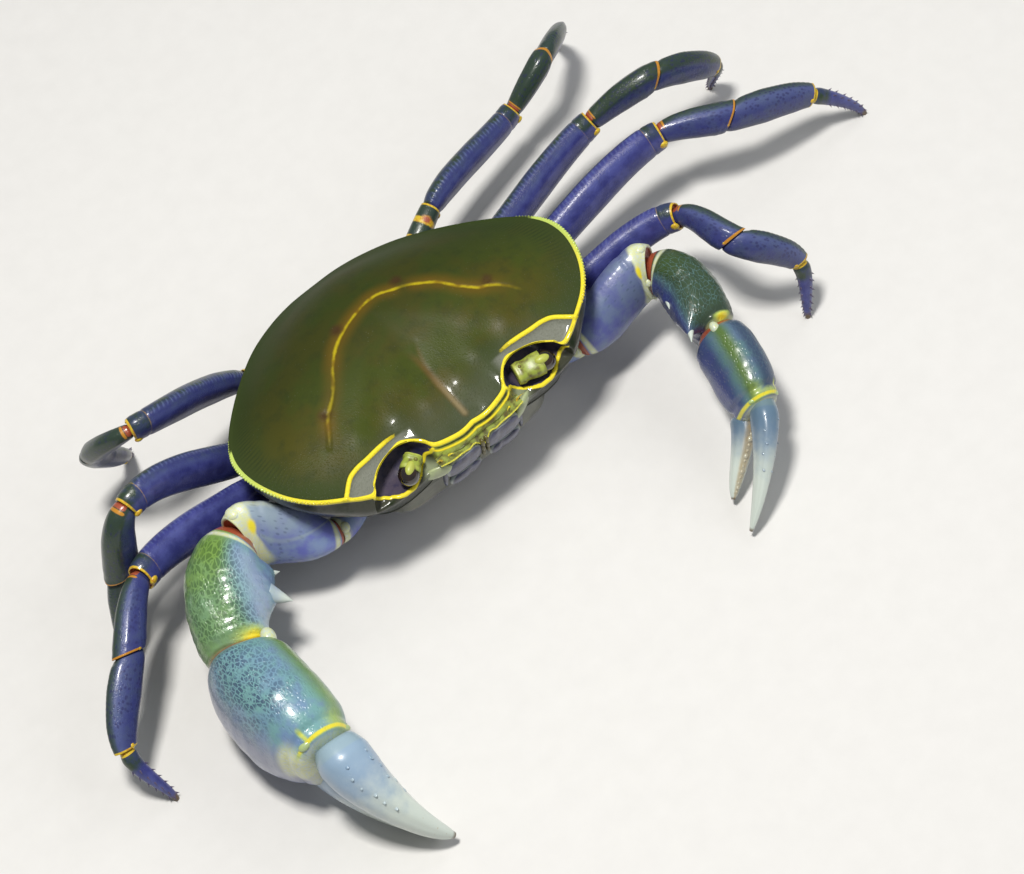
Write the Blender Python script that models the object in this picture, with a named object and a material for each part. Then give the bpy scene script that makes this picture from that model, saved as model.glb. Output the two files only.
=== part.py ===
"""A freshwater crab, life size, standing still with both claws lowered in front.

Sizes below are millimetres in the crab's own frame: +X is its left, -Y is forward, +Z is up,
z = 0 is the floor, and the middle of the frontal edge is over x = y = 0.
The model itself is in metres, and is moved at the end so that the middle of its box is the origin.
"""

import math

import bmesh
import bpy
import numpy as np

MM = 0.001
GAP = 0.3

# Carapace, the driving sizes
CARAPACE_WIDTH = 63.0
CARAPACE_LENGTH = 42.0
DOME_CENTRE_Y = 22.0
DOME_TOP = 27.8
FRONT_POWER = 1.3
BACK_POWER = 2.3
CARAPACE_SIDES = 72
DOME_RINGS = 9

# The rim of the carapace from the frontal middle round the left side to the back:
# x as a share of half the width, y as a share of the length, and the height in mm
RIM = (
    (0.000, -0.010, 21.9), (0.060, -0.020, 22.0), (0.118, -0.024, 22.1), (0.200, -0.020, 22.1),
    (0.229, -0.008, 22.2), (0.250, 0.017, 22.8), (0.300, 0.052, 23.0), (0.380, 0.067, 23.0),
    (0.480, 0.050, 22.8), (0.560, 0.013, 22.4), (0.597, -0.019, 21.9), (0.650, -0.010, 22.3),
    (0.721, 0.014, 23.2), (0.841, 0.072, 24.0), (0.930, 0.154, 24.6), (0.984, 0.252, 25.0),
    (1.000, 0.350, 24.8), (0.975, 0.447, 24.0), (0.895, 0.552, 22.6), (0.765, 0.670, 21.0),
    (0.610, 0.785, 19.4), (0.460, 0.875, 18.0), (0.300, 0.935, 17.0), (0.150, 0.965, 16.5),
    (0.000, 0.972, 16.3),
)

# The flank: the wall below the rim, and the seam where the shell meets the underside, in mm
WALL = (
    (0.0, -1.3, 18.4), (3.7, -1.5, 18.4), (7.2, -1.6, 18.0), (10.0, -1.7, 17.0), (15.0, -1.5, 16.2),
    (18.8, -0.4, 16.0), (21.8, 2.0, 16.0), (26.0, 8.0, 16.5), (27.6, 15.0, 16.5), (25.6, 22.5, 16.0),
    (19.0, 31.0, 15.8), (9.8, 36.0, 15.3), (0.0, 37.4, 15.2),
)
SEAM = (
    (0.0, -1.0, 17.3), (3.7, -1.2, 17.3), (7.2, -1.2, 16.8), (10.0, -1.0, 15.0), (14.2, -0.6, 14.0),
    (17.4, 0.4, 13.8), (20.0, 3.3, 13.8), (23.0, 9.0, 14.0), (24.2, 15.0, 14.2), (23.0, 22.0, 14.0),
    (17.8, 29.6, 14.2), (9.0, 34.2, 14.2), (0.0, 35.4, 14.2),
)
FLANK_BULGE = 1.2
ORBIT_INNER = 0.228
ORBIT_OUTER = 0.600
ORBIT_BACK_Y = 4.9
ORBIT_BACK_Z = 20.3
ORBIT_FLOOR_Y = 1.8
ORBIT_FLOOR_Z = 18.2
LOWER_ORBIT_Y = -2.0
LOWER_ORBIT_Z = 18.3

# Body under the carapace: heights, and how far each ring is drawn in from the seam
BODY_MIDDLE_Y = 17.0
BODY_RINGS = ((12.6, 0.82, 0.94), (8.0, 0.80, 0.90), (5.6, 0.60, 0.74))
ABDOMEN = ((31.5, 5.4), (26.0, 6.6), (20.0, 5.6), (14.0, 3.6), (10.5, 1.6))
ABDOMEN_THICKNESS = 0.9

# Eyes: the foot of the stalk and the middle of the cornea, in mm, and their half widths
EYES = {
    "left": ((10.3, 0.9, 20.6), (15.2, -0.2, 20.4)),
    "right": ((-10.1, 0.8, 20.8), (-12.6, -1.0, 20.4)),
}
EYESTALK_RADIUS = 1.55
CORNEA_RADIUS = 1.7

# Outer mouthparts: one plate a side, half width, half thickness, and its two ends in mm
MOUTH_PLATE = ((3.8, -2.9, 18.6), (3.9, -1.5, 11.4))
MOUTH_PLATE_HALF = (3.5, 0.75)

# Walking legs: joints of each side as (x outward, y, z)
HIP_HEIGHT = 10.0
HIPS = {2: (20.4, 15.8), 3: (19.6, 22.9), 4: (16.4, 28.5), 5: (10.8, 32.2)}
BASE_LENGTH = 7.6
BASE_RISE = 0.25
LEFT_LEGS = {
    2: ((48.8, 7.4, 17.0), (50.8, -3.3, 18.5), (58.2, -8.9, 10.5), (56.4, -11.6, 0.0)),
    3: ((58.2, 22.5, 16.0), (68.3, 17.7, 15.0), (82.6, 14.7, 9.5), (90.6, 11.7, 0.0)),
    4: ((53.1, 34.3, 14.0), (64.4, 31.1, 17.5), (75.8, 30.8, 10.0), (77.0, 34.8, 0.0)),
    5: ((46.2, 46.6, 13.0), (54.4, 47.9, 17.0), (62.5, 54.5, 11.5), (65.4, 61.0, 0.0)),
}
RIGHT_LEGS = {
    2: ((44.6, 12.0, 8.0), (48.6, 5.6, 6.0), (46.4, -3.0, 2.5), (42.3, 3.6, 0.0)),
    3: ((52.4, 16.0, 18.0), (61.1, 8.3, 15.5), (70.2, -0.7, 9.5), (68.4, -7.1, 0.0)),
    4: ((48.0, 21.8, 26.5), (53.2, 20.9, 16.0), (58.1, 17.6, 5.0), (63.3, 12.2, 0.0)),
    5: ((39.0, 33.6, 25.5), (44.0, 39.6, 18.5), (39.4, 43.5, 8.0), (36.6, 48.8, 0.0)),
}
FIFTH_LEG_ROOT = {"left": (23.6, 40.0, 14.3), "right": (18.2, 36.6, 13.6)}
LEG_SIZE = {2: 1.00, 3: 1.08, 4: 1.04, 5: 0.98}
PROPODUS_SIZE = {2: 1.15, 3: 1.15, 4: 1.15, 5: 1.25}
CARPUS_SIZE = {("right", 4): 1.16, ("right", 5): 0.88}
LEG_SIDES = 12

# Half width and half depth of each leg piece along its length, in mm on the third leg
BASE_FORM = ((0.0, 2.2, 2.1), (0.35, 2.1, 2.1), (0.7, 1.9, 2.05), (1.0, 1.7, 1.95))
MERUS_FORM = (
    (0.0, 1.45, 1.8), (0.07, 1.8, 2.4), (0.25, 2.05, 2.85), (0.55, 2.05, 2.95), (0.82, 1.95, 2.65),
    (0.95, 1.9, 2.45), (1.0, 1.6, 2.1),
)
CARPUS_FORM = ((0.0, 1.2, 1.4), (0.14, 1.5, 1.8), (0.5, 1.85, 2.25), (0.85, 2.0, 2.4), (1.0, 1.7, 2.1))
PROPODUS_FORM = (
    (0.0, 1.2, 1.45), (0.1, 1.5, 2.0), (0.4, 1.65, 2.2), (0.75, 1.5, 1.95), (1.0, 1.15, 1.5),
)
DACTYL_FORM = (
    (0.0, 0.95, 1.15), (0.12, 1.2, 1.4), (0.45, 0.95, 1.1), (0.8, 0.65, 0.72), (1.0, 0.42, 0.42),
)
DACTYL_DROP = 0.9

# Claw arms: joints as (x outward, y, z), and the way up of each piece as (x outward, y, z)
CLAW_HIP = (17.8, 8.2, 9.6)
MAJOR = {
    "side": "right",
    "root": (24.5, 5.4, 10.8), "elbow": (37.7, 10.8, 17.0), "wrist": (48.9, -3.1, 12.7),
    "palm_end": (50.2, -25.0, 11.7), "merus_up": (0.39, 0.66, 0.64), "carpus_up": (0.25, 0.15, 0.95),
    "palm_up": (-0.15, -0.10, 0.98),
    "merus": (2.9, 6.3), "carpus": (6.4, 6.8), "palm": (7.2, 10.4), "finger": (3.3, 4.1),
    "dactyl": (4.2, 4.1),
    "dactyl_root": (48.5, -26.9, 15.2), "dactyl_tip": (42.5, -43.0, 1.9),
    "dactyl_leave": (0.10, -0.92, -0.38), "dactyl_arrive": (-0.62, -0.40, -0.68),
    "pollex_root": (49.6, -21.6, 7.4), "pollex_tip": (43.2, -40.6, 1.5),
    "pollex_leave": (-0.02, -0.95, -0.30), "pollex_arrive": (-0.55, -0.80, -0.10),
    "spine_root": (39.5, 1.6, 15.0), "spine_tip": (37.3, -1.2, 13.6), "spine_radius": 1.7,
    "tooth_root": (38.0, 5.6, 14.0), "tooth_tip": (35.4, 4.8, 12.9), "tooth_radius": 0.8,
}
MINOR = {
    "side": "left",
    "root": (24.2, 4.6, 10.8), "elbow": (39.6, 3.8, 15.0), "wrist": (39.0, -11.2, 13.0),
    "palm_end": (35.4, -24.4, 9.8), "merus_up": (-0.16, 0.40, 0.90), "carpus_up": (0.45, -0.10, 0.88),
    "palm_up": (0.46, -0.39, 0.79),
    "merus": (3.3, 5.5), "carpus": (4.3, 5.3), "palm": (4.0, 5.9), "finger": (2.0, 2.5),
    "dactyl": (2.05, 2.4),
    "dactyl_root": (35.8, -25.3, 11.3), "dactyl_tip": (22.7, -35.5, 1.5),
    "dactyl_leave": (-0.50, -0.80, -0.20), "dactyl_arrive": (-0.69, -0.25, -0.67),
    "pollex_root": (34.2, -22.2, 7.0), "pollex_tip": (24.6, -29.4, 1.6),
    "pollex_leave": (-0.55, -0.75, -0.35), "pollex_arrive": (-0.65, -0.52, -0.50),
    "spine_root": (38.2, -7.6, 13.6), "spine_tip": (35.4, -10.6, 12.2), "spine_radius": 1.3,
    "tooth_root": (38.0, -3.0, 13.6), "tooth_tip": (35.3, -4.0, 12.4), "tooth_radius": 0.7,
}
CLAW_SIDES = 16
THORN_SIDES = 8
THORN_UP = (0.1, 0.2, 1.0)

# Place along a claw piece, and its share of the full half width and half depth there
MERUS_SWELL = {
    "right": (
        (0.0, 0.72, 0.34), (0.1, 0.82, 0.42), (0.3, 0.92, 0.60), (0.55, 1.0, 0.84), (0.8, 1.0, 1.0),
        (0.92, 0.96, 0.98), (1.0, 0.82, 0.80),
    ),
    "left": (
        (0.0, 0.72, 0.40), (0.1, 0.82, 0.58), (0.3, 0.92, 0.82), (0.55, 1.0, 0.96), (0.8, 1.0, 1.0),
        (0.92, 0.96, 0.98), (1.0, 0.82, 0.80),
    ),
}
CARPUS_SWELL = (
    (0.0, 0.56, 0.52), (0.12, 0.78, 0.74), (0.35, 0.97, 0.95), (0.6, 1.0, 1.0), (0.85, 0.92, 0.90),
    (0.95, 0.80, 0.78), (1.0, 0.64, 0.62),
)
PALM_SWELL = (
    (0.0, 0.70, 0.62), (0.08, 0.86, 0.82), (0.22, 0.97, 0.94), (0.42, 1.0, 0.98), (0.62, 0.99, 0.99),
    (0.82, 0.92, 0.90), (0.93, 0.80, 0.79), (1.0, 0.66, 0.70),
)
FINGER_TAPER = (
    (0.0, 0.85, 0.90), (0.07, 1.0, 1.0), (0.2, 0.92, 0.96), (0.32, 0.86, 0.84), (0.44, 0.76, 0.78),
    (0.56, 0.66, 0.66), (0.68, 0.56, 0.58), (0.80, 0.44, 0.44), (0.91, 0.30, 0.30), (1.0, 0.13, 0.13),
)
DACTYL_TAPER = (
    (0.0, 0.92, 0.88), (0.07, 0.99, 1.0), (0.2, 0.94, 0.97), (0.32, 0.83, 0.86), (0.44, 0.71, 0.78),
    (0.56, 0.58, 0.66), (0.68, 0.45, 0.56), (0.80, 0.34, 0.43), (0.91, 0.23, 0.29), (1.0, 0.11, 0.13),
)

# Colours taken by eye, as linear red, green and blue
OLIVE = (0.055, 0.070, 0.012)
VIOLET = (0.085, 0.080, 0.270)
TEAL = (0.090, 0.190, 0.180)
CREAM = (0.620, 0.640, 0.520)
SLATE = (0.100, 0.110, 0.170)
BLACK = (0.012, 0.010, 0.008)
PALE = (0.420, 0.400, 0.300)
COLOURS = {}


def finish(name, colour, roughness):
    """A plain material of one colour; crab shell isn't metal."""
    if name not in COLOURS:
        material = bpy.data.materials.new(name)
        material.use_nodes = True
        shader = material.node_tree.nodes["Principled BSDF"]
        shader.inputs["Base Color"].default_value = (*colour, 1.0)
        shader.inputs["Roughness"].default_value = roughness
        shader.inputs["Metallic"].default_value = 0.0
        COLOURS[name] = material
    return COLOURS[name]


def unit(vector):
    vector = np.asarray(vector, float)
    return vector / np.linalg.norm(vector)


def square_to(vector, axis):
    """The part of a vector that is square to an axis, at length one."""
    axis = unit(axis)
    vector = np.asarray(vector, float)
    return unit(vector - axis * vector.dot(axis))


def smooth_line(knots, places):
    """Values at places 0..1 on a smooth line through knots that are evenly counted."""
    knots = np.asarray(knots, float)
    spread = np.asarray(places) * (len(knots) - 1)
    low = np.clip(spread.astype(int), 0, len(knots) - 2)
    part = (spread - low)[:, None]
    before = knots[np.maximum(low - 1, 0)]
    start = knots[low]
    end = knots[low + 1]
    after = knots[np.minimum(low + 2, len(knots) - 1)]
    leave = (end - before) / 2
    arrive = (after - start) / 2
    return (
        start * (2 * part**3 - 3 * part**2 + 1) + leave * (part**3 - 2 * part**2 + part)
        + end * (3 * part**2 - 2 * part**3) + arrive * (part**3 - part**2)
    )


def solid(name, rings, material, start_point=None, end_point=None):
    """One closed object through rings of points, closed by flat ends or by a point in the middle."""
    count = len(rings[0])
    points = [point for ring in rings for point in ring]
    faces = []
    for row in range(len(rings) - 1):
        for step in range(count):
            a = row * count + step
            b = row * count + (step + 1) % count
            faces.append((a, b, b + count, a + count))
    for first, point in ((0, start_point), ((len(rings) - 1) * count, end_point)):
        ring = list(range(first, first + count))
        if point is None:
            faces.append(tuple(ring))
        else:
            points.append(np.asarray(point, float))
            middle = len(points) - 1
            for step in range(count):
                faces.append((ring[step], ring[(step + 1) % count], middle))
    mesh = bpy.data.meshes.new(name)
    mesh.from_pydata([tuple(np.asarray(point) * MM) for point in points], [], faces)
    shape = bmesh.new()
    shape.from_mesh(mesh)
    bmesh.ops.triangulate(shape, faces=shape.faces[:])
    bmesh.ops.recalc_face_normals(shape, faces=shape.faces[:])
    shape.to_mesh(mesh)
    shape.free()
    mesh.shade_smooth()
    mesh.set_sharp_from_angle(angle=math.radians(50))
    mesh.materials.append(material)
    piece = bpy.data.objects.new(name, mesh)
    bpy.context.scene.collection.objects.link(piece)
    return piece


def fuse(body, growths):
    """Join closed growths, rooted well inside the body, to it as one closed surface."""
    group = bpy.data.collections.new(body.name + "_growths")
    bpy.context.scene.collection.children.link(group)
    for growth in growths:
        group.objects.link(growth)
        bpy.context.scene.collection.objects.unlink(growth)
    union = body.modifiers.new("union", "BOOLEAN")
    union.operation = "UNION"
    union.operand_type = "COLLECTION"
    union.collection = group
    union.solver = "EXACT"
    graph = bpy.context.evaluated_depsgraph_get()
    joined = bpy.data.meshes.new_from_object(body.evaluated_get(graph))
    body.modifiers.clear()
    body.data = joined
    for growth in growths:
        bpy.data.objects.remove(growth)
    bpy.data.collections.remove(group)
    keep_largest(joined)
    return body


def keep_largest(mesh):
    """Drop every closed surface but the one with the most faces."""
    shape = bmesh.new()
    shape.from_mesh(mesh)
    left = set(shape.faces)
    islands = []
    while left:
        queue = [left.pop()]
        island = list(queue)
        while queue:
            face = queue.pop()
            for edge in face.edges:
                for other in edge.link_faces:
                    if other in left:
                        left.remove(other)
                        queue.append(other)
                        island.append(other)
        islands.append(island)
    islands.sort(key=len)
    loose = [face for island in islands[:-1] for face in island]
    bmesh.ops.delete(shape, geom=loose, context="FACES")
    shape.to_mesh(mesh)
    shape.free()


def closed_ring(table, sides):
    """A table that runs down the left side, mirrored to a closed ring of points."""
    half = sides // 2
    left = smooth_line(table, np.arange(half + 1) / half)
    right = left[1:-1][::-1] * np.array([-1.0, 1.0, 1.0])
    return np.vstack([left, right])


def rim_ring(sides):
    return closed_ring(RIM, sides) * np.array([CARAPACE_WIDTH / 2, CARAPACE_LENGTH, 1.0])


def calmed(ring, reach):
    """A ring with its small dips taken out, by averaging along it."""
    steps = range(-reach, reach + 1)
    return sum(np.roll(ring, step, axis=0) for step in steps) / len(steps)


def orbit_share(ring):
    """How far each point of the rim is inside an eye socket, from 0 to 1."""
    across = np.abs(ring[:, 0]) / (CARAPACE_WIDTH / 2)
    front = ring[:, 1] < CARAPACE_LENGTH / 4
    middle = (ORBIT_INNER + ORBIT_OUTER) / 2
    half = (ORBIT_OUTER - ORBIT_INNER) / 2
    return np.clip(1 - ((across - middle) / half) ** 2, 0, 1) ** 0.5 * front


def dome_rings(rim):
    """Rings from near the top of the dome out to the rim."""
    centre = np.array([0.0, DOME_CENTRE_Y, DOME_TOP])
    calm = calmed(rim, 5)
    offset = calm - centre
    forward = (1 - offset[:, 1] / np.hypot(offset[:, 0], offset[:, 1])) / 2
    power = BACK_POWER + (FRONT_POWER - BACK_POWER) * forward**3
    rings = []
    for step in range(1, DOME_RINGS + 1):
        share = math.sin(step / DOME_RINGS * math.pi / 2) ** 0.8
        edge = calm + (rim - calm) * share**14
        ring = centre + (edge - centre) * share
        ring[:, 2] = centre[2] + (edge[:, 2] - centre[2]) * share**power
        rings.append(ring)
    return rings


def flank_rings(rim):
    """Rings from the rim down to the seam, hollowed at the eye sockets."""
    orbit = orbit_share(rim)[:, None]
    wall = closed_ring(WALL, len(rim))
    seam = closed_ring(SEAM, len(rim))
    pulls = (
        (0.10, rim[:, 1] + 0.7, rim[:, 2] - 0.6),
        (0.36, ORBIT_BACK_Y, ORBIT_BACK_Z),
        (0.60, ORBIT_FLOOR_Y, ORBIT_FLOOR_Z),
        (0.74, LOWER_ORBIT_Y, LOWER_ORBIT_Z),
    )
    forward = np.clip(1.6 - rim[:, 1:2] / DOME_CENTRE_Y, 0.0, 1.0)
    rings = []
    for share, socket_y, socket_z in pulls:
        bulge = math.sin(share * math.pi) * FLANK_BULGE * (0.3 + 0.7 * forward)
        ring = rim + (wall - rim) * share
        ring[:, :2] += unit_rows(ring[:, :2] - (0.0, DOME_CENTRE_Y)) * bulge
        socket = ring.copy()
        socket[:, 1] = socket_y
        socket[:, 2] = socket_z
        rings.append(ring * (1 - orbit) + socket * orbit)
    return rings + [wall, seam]


def unit_rows(rows):
    return rows / np.linalg.norm(rows, axis=1)[:, None]


def build_carapace():
    rim = rim_ring(CARAPACE_SIDES)
    rings = dome_rings(rim) + flank_rings(rim)
    top = (0.0, DOME_CENTRE_Y, DOME_TOP)
    under = (0.0, BODY_MIDDLE_Y, 14.0)
    return solid("carapace", rings, finish("shell_olive", OLIVE, 0.25), top, under)


def body_ring(height, share_x, share_y, sides):
    ring = closed_ring(SEAM, sides)
    ring[:, 0] *= share_x
    ring[:, 1] = BODY_MIDDLE_Y + (ring[:, 1] - BODY_MIDDLE_Y) * share_y
    ring[:, 2] = height
    return ring


def build_sternum():
    sides = CARAPACE_SIDES
    top = closed_ring(SEAM, sides) - (0.0, 0.0, GAP)
    rings = [top] + [body_ring(*row, sides) for row in BODY_RINGS]
    above = (0.0, BODY_MIDDLE_Y, 14.0 - GAP)
    return solid("sternum", rings, finish("underside_pale", PALE, 0.45), above)


def build_abdomen():
    """The tail, folded flat forward under the body."""
    top = BODY_RINGS[-1][0] - GAP
    rings = []
    for y, half in ABDOMEN:
        low = top - ABDOMEN_THICKNESS
        rings.append([
            (half, y, top), (half * 0.6, y, top), (-half * 0.6, y, top), (-half, y, top),
            (-half * 0.92, y, low + 0.3), (-half * 0.5, y, low), (half * 0.5, y, low),
            (half * 0.92, y, low + 0.3),
        ])
    return solid("abdomen", [np.array(ring) for ring in rings], finish("underside_pale", PALE, 0.45))


def build_eye(side):
    foot, cornea = (np.array(point) for point in EYES[side])
    way = unit(cornea - foot)
    reach = np.linalg.norm(cornea - foot)
    neck = (reach - CORNEA_RADIUS * 0.8, CORNEA_RADIUS * 0.75)
    form = [(0.0, EYESTALK_RADIUS), (reach * 0.45, EYESTALK_RADIUS), neck]
    for turn in (-30, 0, 30, 60, 80):
        angle = math.radians(turn)
        form.append((reach + CORNEA_RADIUS * math.sin(angle), CORNEA_RADIUS * math.cos(angle)))
    rings = []
    for place, radius in form:
        rings.append(oval_ring(foot + way * place, way, (0, 0, 1), radius, radius, LEG_SIDES, 2.0))
    return solid(f"eye_{side}", rings, finish("eye_black", BLACK, 0.08))


def build_mouth_plate(side):
    sign = 1.0 if side == "left" else -1.0
    top, low = (np.array(point) for point in MOUTH_PLATE)
    way = unit(low - top)
    reach = np.linalg.norm(low - top)
    rings = []
    for share, swell in ((0.0, 0.72), (0.08, 0.9), (0.3, 1.0), (0.7, 1.0), (0.92, 0.9), (1.0, 0.7)):
        half = MOUTH_PLATE_HALF[0] * swell
        middle = top + way * reach * share
        ring = oval_ring(middle, way, (0, 1, 0), half, MOUTH_PLATE_HALF[1], LEG_SIDES, 3.0)
        rings.append(ring * (sign, 1.0, 1.0))
    return solid(f"maxilliped_{side}", rings, finish("mouth_slate", SLATE, 0.3))


def oval_ring(centre, along, up_hint, half_width, half_depth, sides, square=2.3):
    """A rounded section round a centre: half_width lies across, half_depth lies up."""
    up = square_to(up_hint, along)
    side = np.cross(up, along)
    ring = []
    for step in range(sides):
        turn = 2 * math.pi * step / sides
        c, s = math.cos(turn), math.sin(turn)
        c = math.copysign(abs(c) ** (2 / square), c)
        s = math.copysign(abs(s) ** (2 / square), s)
        ring.append(centre + side * half_width * c + up * half_depth * s)
    return np.array(ring)


def bend(start, start_way, end, end_way, places, pull=0.28):
    """Points and ways along a curve that leaves and arrives in the ways given."""
    length = np.linalg.norm(end - start)
    first = start + start_way * length * pull
    second = end - end_way * length * pull
    points = []
    ways = []
    for t in places:
        a = (1 - t) ** 3
        b = 3 * t * (1 - t) ** 2
        c = 3 * t * t * (1 - t)
        d = t**3
        points.append(start * a + first * b + second * c + end * d)
        middle = (second - first) * 2 * t * (1 - t)
        slope = (first - start) * (1 - t) ** 2 + middle + (end - second) * t * t
        ways.append(unit(slope))
    return points, ways


def limb(name, start, start_way, end, end_way, ups, form, scale, material, sides=LEG_SIDES, square=2.3):
    """A piece of a limb between two joints, with half the joint gap left free at each end."""
    start = np.asarray(start, float) + unit(start_way) * GAP / 2
    end = np.asarray(end, float) - unit(end_way) * GAP / 2
    places = [row[0] for row in form]
    points, ways = bend(start, unit(start_way), end, unit(end_way), places)
    rings = []
    for (place, half_width, half_depth), point, way in zip(form, points, ways):
        up = np.asarray(ups[0]) * (1 - place) + np.asarray(ups[1]) * place
        width, depth = half_width * scale[0], half_depth * scale[1]
        rings.append(oval_ring(point, way, up, width, depth, sides, square))
    return solid(name, rings, material), rings


def outward(point, side):
    """A point given as outward, y and z, on the side named."""
    sign = 1.0 if side == "left" else -1.0
    return np.array([sign * point[0], point[1], point[2]])


def wall_way(hip):
    """The level way out of the body wall at a hip, and the point of the wall there."""
    high, low = BODY_RINGS[0], BODY_RINGS[1]
    part = (hip[2] - low[0]) / (high[0] - low[0])
    shares = [b + (a - b) * part for a, b in zip(high[1:], low[1:])]
    flat = body_ring(hip[2], *shares, CARAPACE_SIDES * 4)
    nearest = int(np.argmin(np.linalg.norm(flat[:, :2] - hip[:2], axis=1)))
    along = flat[(nearest + 3) % len(flat)] - flat[nearest - 3]
    way = np.array([-along[1], along[0], 0.0])
    if way[0] * hip[0] < 0:
        way = -way
    return unit(way), flat[nearest]


def joint_ways(joints, first_way, last_way):
    """The way through each joint: halfway between the pieces that meet there."""
    ways = [unit(first_way)]
    for before, here, after in zip(joints, joints[1:], joints[2:]):
        ways.append(unit(unit(here - before) + unit(after - here)))
    ways.append(unit(last_way))
    return ways


def build_leg(side, number, joints):
    """A walking leg of five nodes, from its base on the body to the tip on the floor."""
    hip = outward((*HIPS[number], HIP_HEIGHT), side)
    out, foot = wall_way(hip)
    start = foot + out * GAP
    knee = outward(joints[0], side)
    if number == 5:
        root = outward(FIFTH_LEG_ROOT[side], side)
    else:
        root = foot + unit((knee - foot) * (1.0, 1.0, BASE_RISE)) * BASE_LENGTH
    chain = [start, root] + [outward(joint, side) for joint in joints]
    last = unit(unit(chain[-1] - chain[-2]) + np.array([0.0, 0.0, -DACTYL_DROP]))
    ways = joint_ways(chain, out, last)
    plane = np.cross(knee - foot, chain[-1] - knee)
    size = LEG_SIZE[number]
    shell = finish("leg_violet", VIOLET, 0.30)
    names = ("base", "merus", "carpus", "propodus", "dactyl")
    forms = (BASE_FORM, MERUS_FORM, CARPUS_FORM, PROPODUS_FORM, DACTYL_FORM)
    nodes = []
    for index, (part, form) in enumerate(zip(names, forms)):
        ups = []
        for way in (ways[index], ways[index + 1]):
            up = unit(np.cross(plane, way))
            if index < 2:
                up = up * math.copysign(1.0, up[2]) + (0.0, 0.0, 1.0)
            ups.append(up)
        tip = index == len(names) - 1
        scale = (size, size)
        if part == "carpus":
            grown = size * CARPUS_SIZE.get((side, number), 1.0)
            scale = (grown, grown)
        if part == "propodus":
            scale = (size, size * PROPODUS_SIZE[number])
        if tip:
            scale = (1.0, 1.0)
        node, rings = limb(
            f"leg_{side}_{number}_{part}", chain[index], ways[index], chain[index + 1],
            ways[index + 1], ups, form, scale, shell,
        )
        if tip:
            rest_on_floor(node, rings)
        nodes.append(node)
    return nodes


def rest_on_floor(node, rings):
    """Set the last ring of a tip flat on the floor."""
    count = len(rings[-1])
    total = len(node.data.vertices)
    for vertex in node.data.vertices[total - count:total]:
        vertex.co.z = 0.0


def build_claw_arm(claw):
    """A claw arm of five nodes: base, merus, carpus, palm with its fixed finger, and dactyl."""
    side = claw["side"]

    def spot(name):
        return outward(claw[name], side)

    out, foot = wall_way(outward(CLAW_HIP, side))
    start = foot + out * GAP
    chain = [start, spot("root"), spot("elbow"), spot("wrist"), spot("palm_end")]
    ways = joint_ways(chain, out, chain[-1] - chain[-2])
    violet = finish("arm_violet", VIOLET, 0.30)
    teal = finish("claw_teal", TEAL, 0.28)
    cream = finish("finger_cream", CREAM, 0.30)
    ups = {part: spot(part + "_up") for part in ("merus", "carpus", "palm")}
    ups["base"] = (0, 0, 1)
    nodes = []
    pieces = (
        ("base", "base", "merus", BASE_FORM, (1.15, 1.1), violet),
        ("merus", "merus", "carpus", MERUS_SWELL[side], claw["merus"], violet),
        ("carpus", "carpus", "palm", CARPUS_SWELL, claw["carpus"], teal),
        ("palm", "palm", "palm", PALM_SWELL, claw["palm"], teal),
    )
    for index, (part, first_up, last_up, form, scale, material) in enumerate(pieces):
        node, _ = limb(
            f"claw_{side}_{part}", chain[index], ways[index], chain[index + 1], ways[index + 1],
            (ups[first_up], ups[last_up]), form, scale, material, CLAW_SIDES,
        )
        nodes.append(node)
    along = unit(chain[-1] - chain[-2])
    up = square_to(ups["palm"], along)
    growths = {"carpus": [], "palm": []}
    fixed, _ = limb(
        "fixed_finger", spot("pollex_root"), spot("pollex_leave"), spot("pollex_tip"),
        spot("pollex_arrive"), (up, up), FINGER_TAPER, claw["finger"], cream, CLAW_SIDES,
    )
    growths["palm"].append(fixed)
    for thorn in ("spine", "tooth"):
        root, tip, radius = spot(thorn + "_root"), spot(thorn + "_tip"), claw[thorn + "_radius"]
        growths["carpus"].append(cone(thorn, root, tip, radius, violet))
    for node in nodes:
        grown = growths.get(node.name.rsplit("_", 1)[-1])
        if grown:
            fuse(node, grown)
    dactyl, _ = limb(
        f"claw_{side}_dactyl", spot("dactyl_root") + along * GAP, spot("dactyl_leave"),
        spot("dactyl_tip"), spot("dactyl_arrive"), (up, up), DACTYL_TAPER, claw["dactyl"], cream,
        CLAW_SIDES,
    )
    nodes.append(dactyl)
    return nodes


def cone(name, root, tip, radius, material):
    """A thorn with a slightly blunt tip."""
    way = unit(tip - root)
    reach = np.linalg.norm(tip - root)
    rings = []
    for share, swell in ((0.0, 1.0), (0.35, 0.72), (0.7, 0.38), (1.0, 0.12)):
        middle = root + way * reach * share
        rings.append(oval_ring(middle, way, THORN_UP, radius * swell, radius * swell, THORN_SIDES, 2.0))
    return solid(name, rings, material)


def remove_scene_objects():
    for item in list(bpy.data.objects):
        bpy.data.objects.remove(item)


def centre_on_floor(nodes):
    """Put the origin under the middle of the whole model's box, on the floor."""
    corners = np.array([vertex.co for node in nodes for vertex in node.data.vertices])
    low, high = corners.min(0), corners.max(0)
    shift = ((low[0] + high[0]) / 2, (low[1] + high[1]) / 2, low[2])
    for node in nodes:
        for vertex in node.data.vertices:
            vertex.co.x -= shift[0]
            vertex.co.y -= shift[1]
            vertex.co.z -= shift[2]
    return shift


def build():
    remove_scene_objects()
    nodes = [build_carapace(), build_sternum(), build_abdomen()]
    for side in ("left", "right"):
        nodes.append(build_eye(side))
        nodes.append(build_mouth_plate(side))
    for side, legs in (("left", LEFT_LEGS), ("right", RIGHT_LEGS)):
        for number, joints in legs.items():
            nodes += build_leg(side, number, joints)
    for claw in (MAJOR, MINOR):
        nodes += build_claw_arm(claw)
    return centre_on_floor(nodes)


SHIFT = build()
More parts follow.
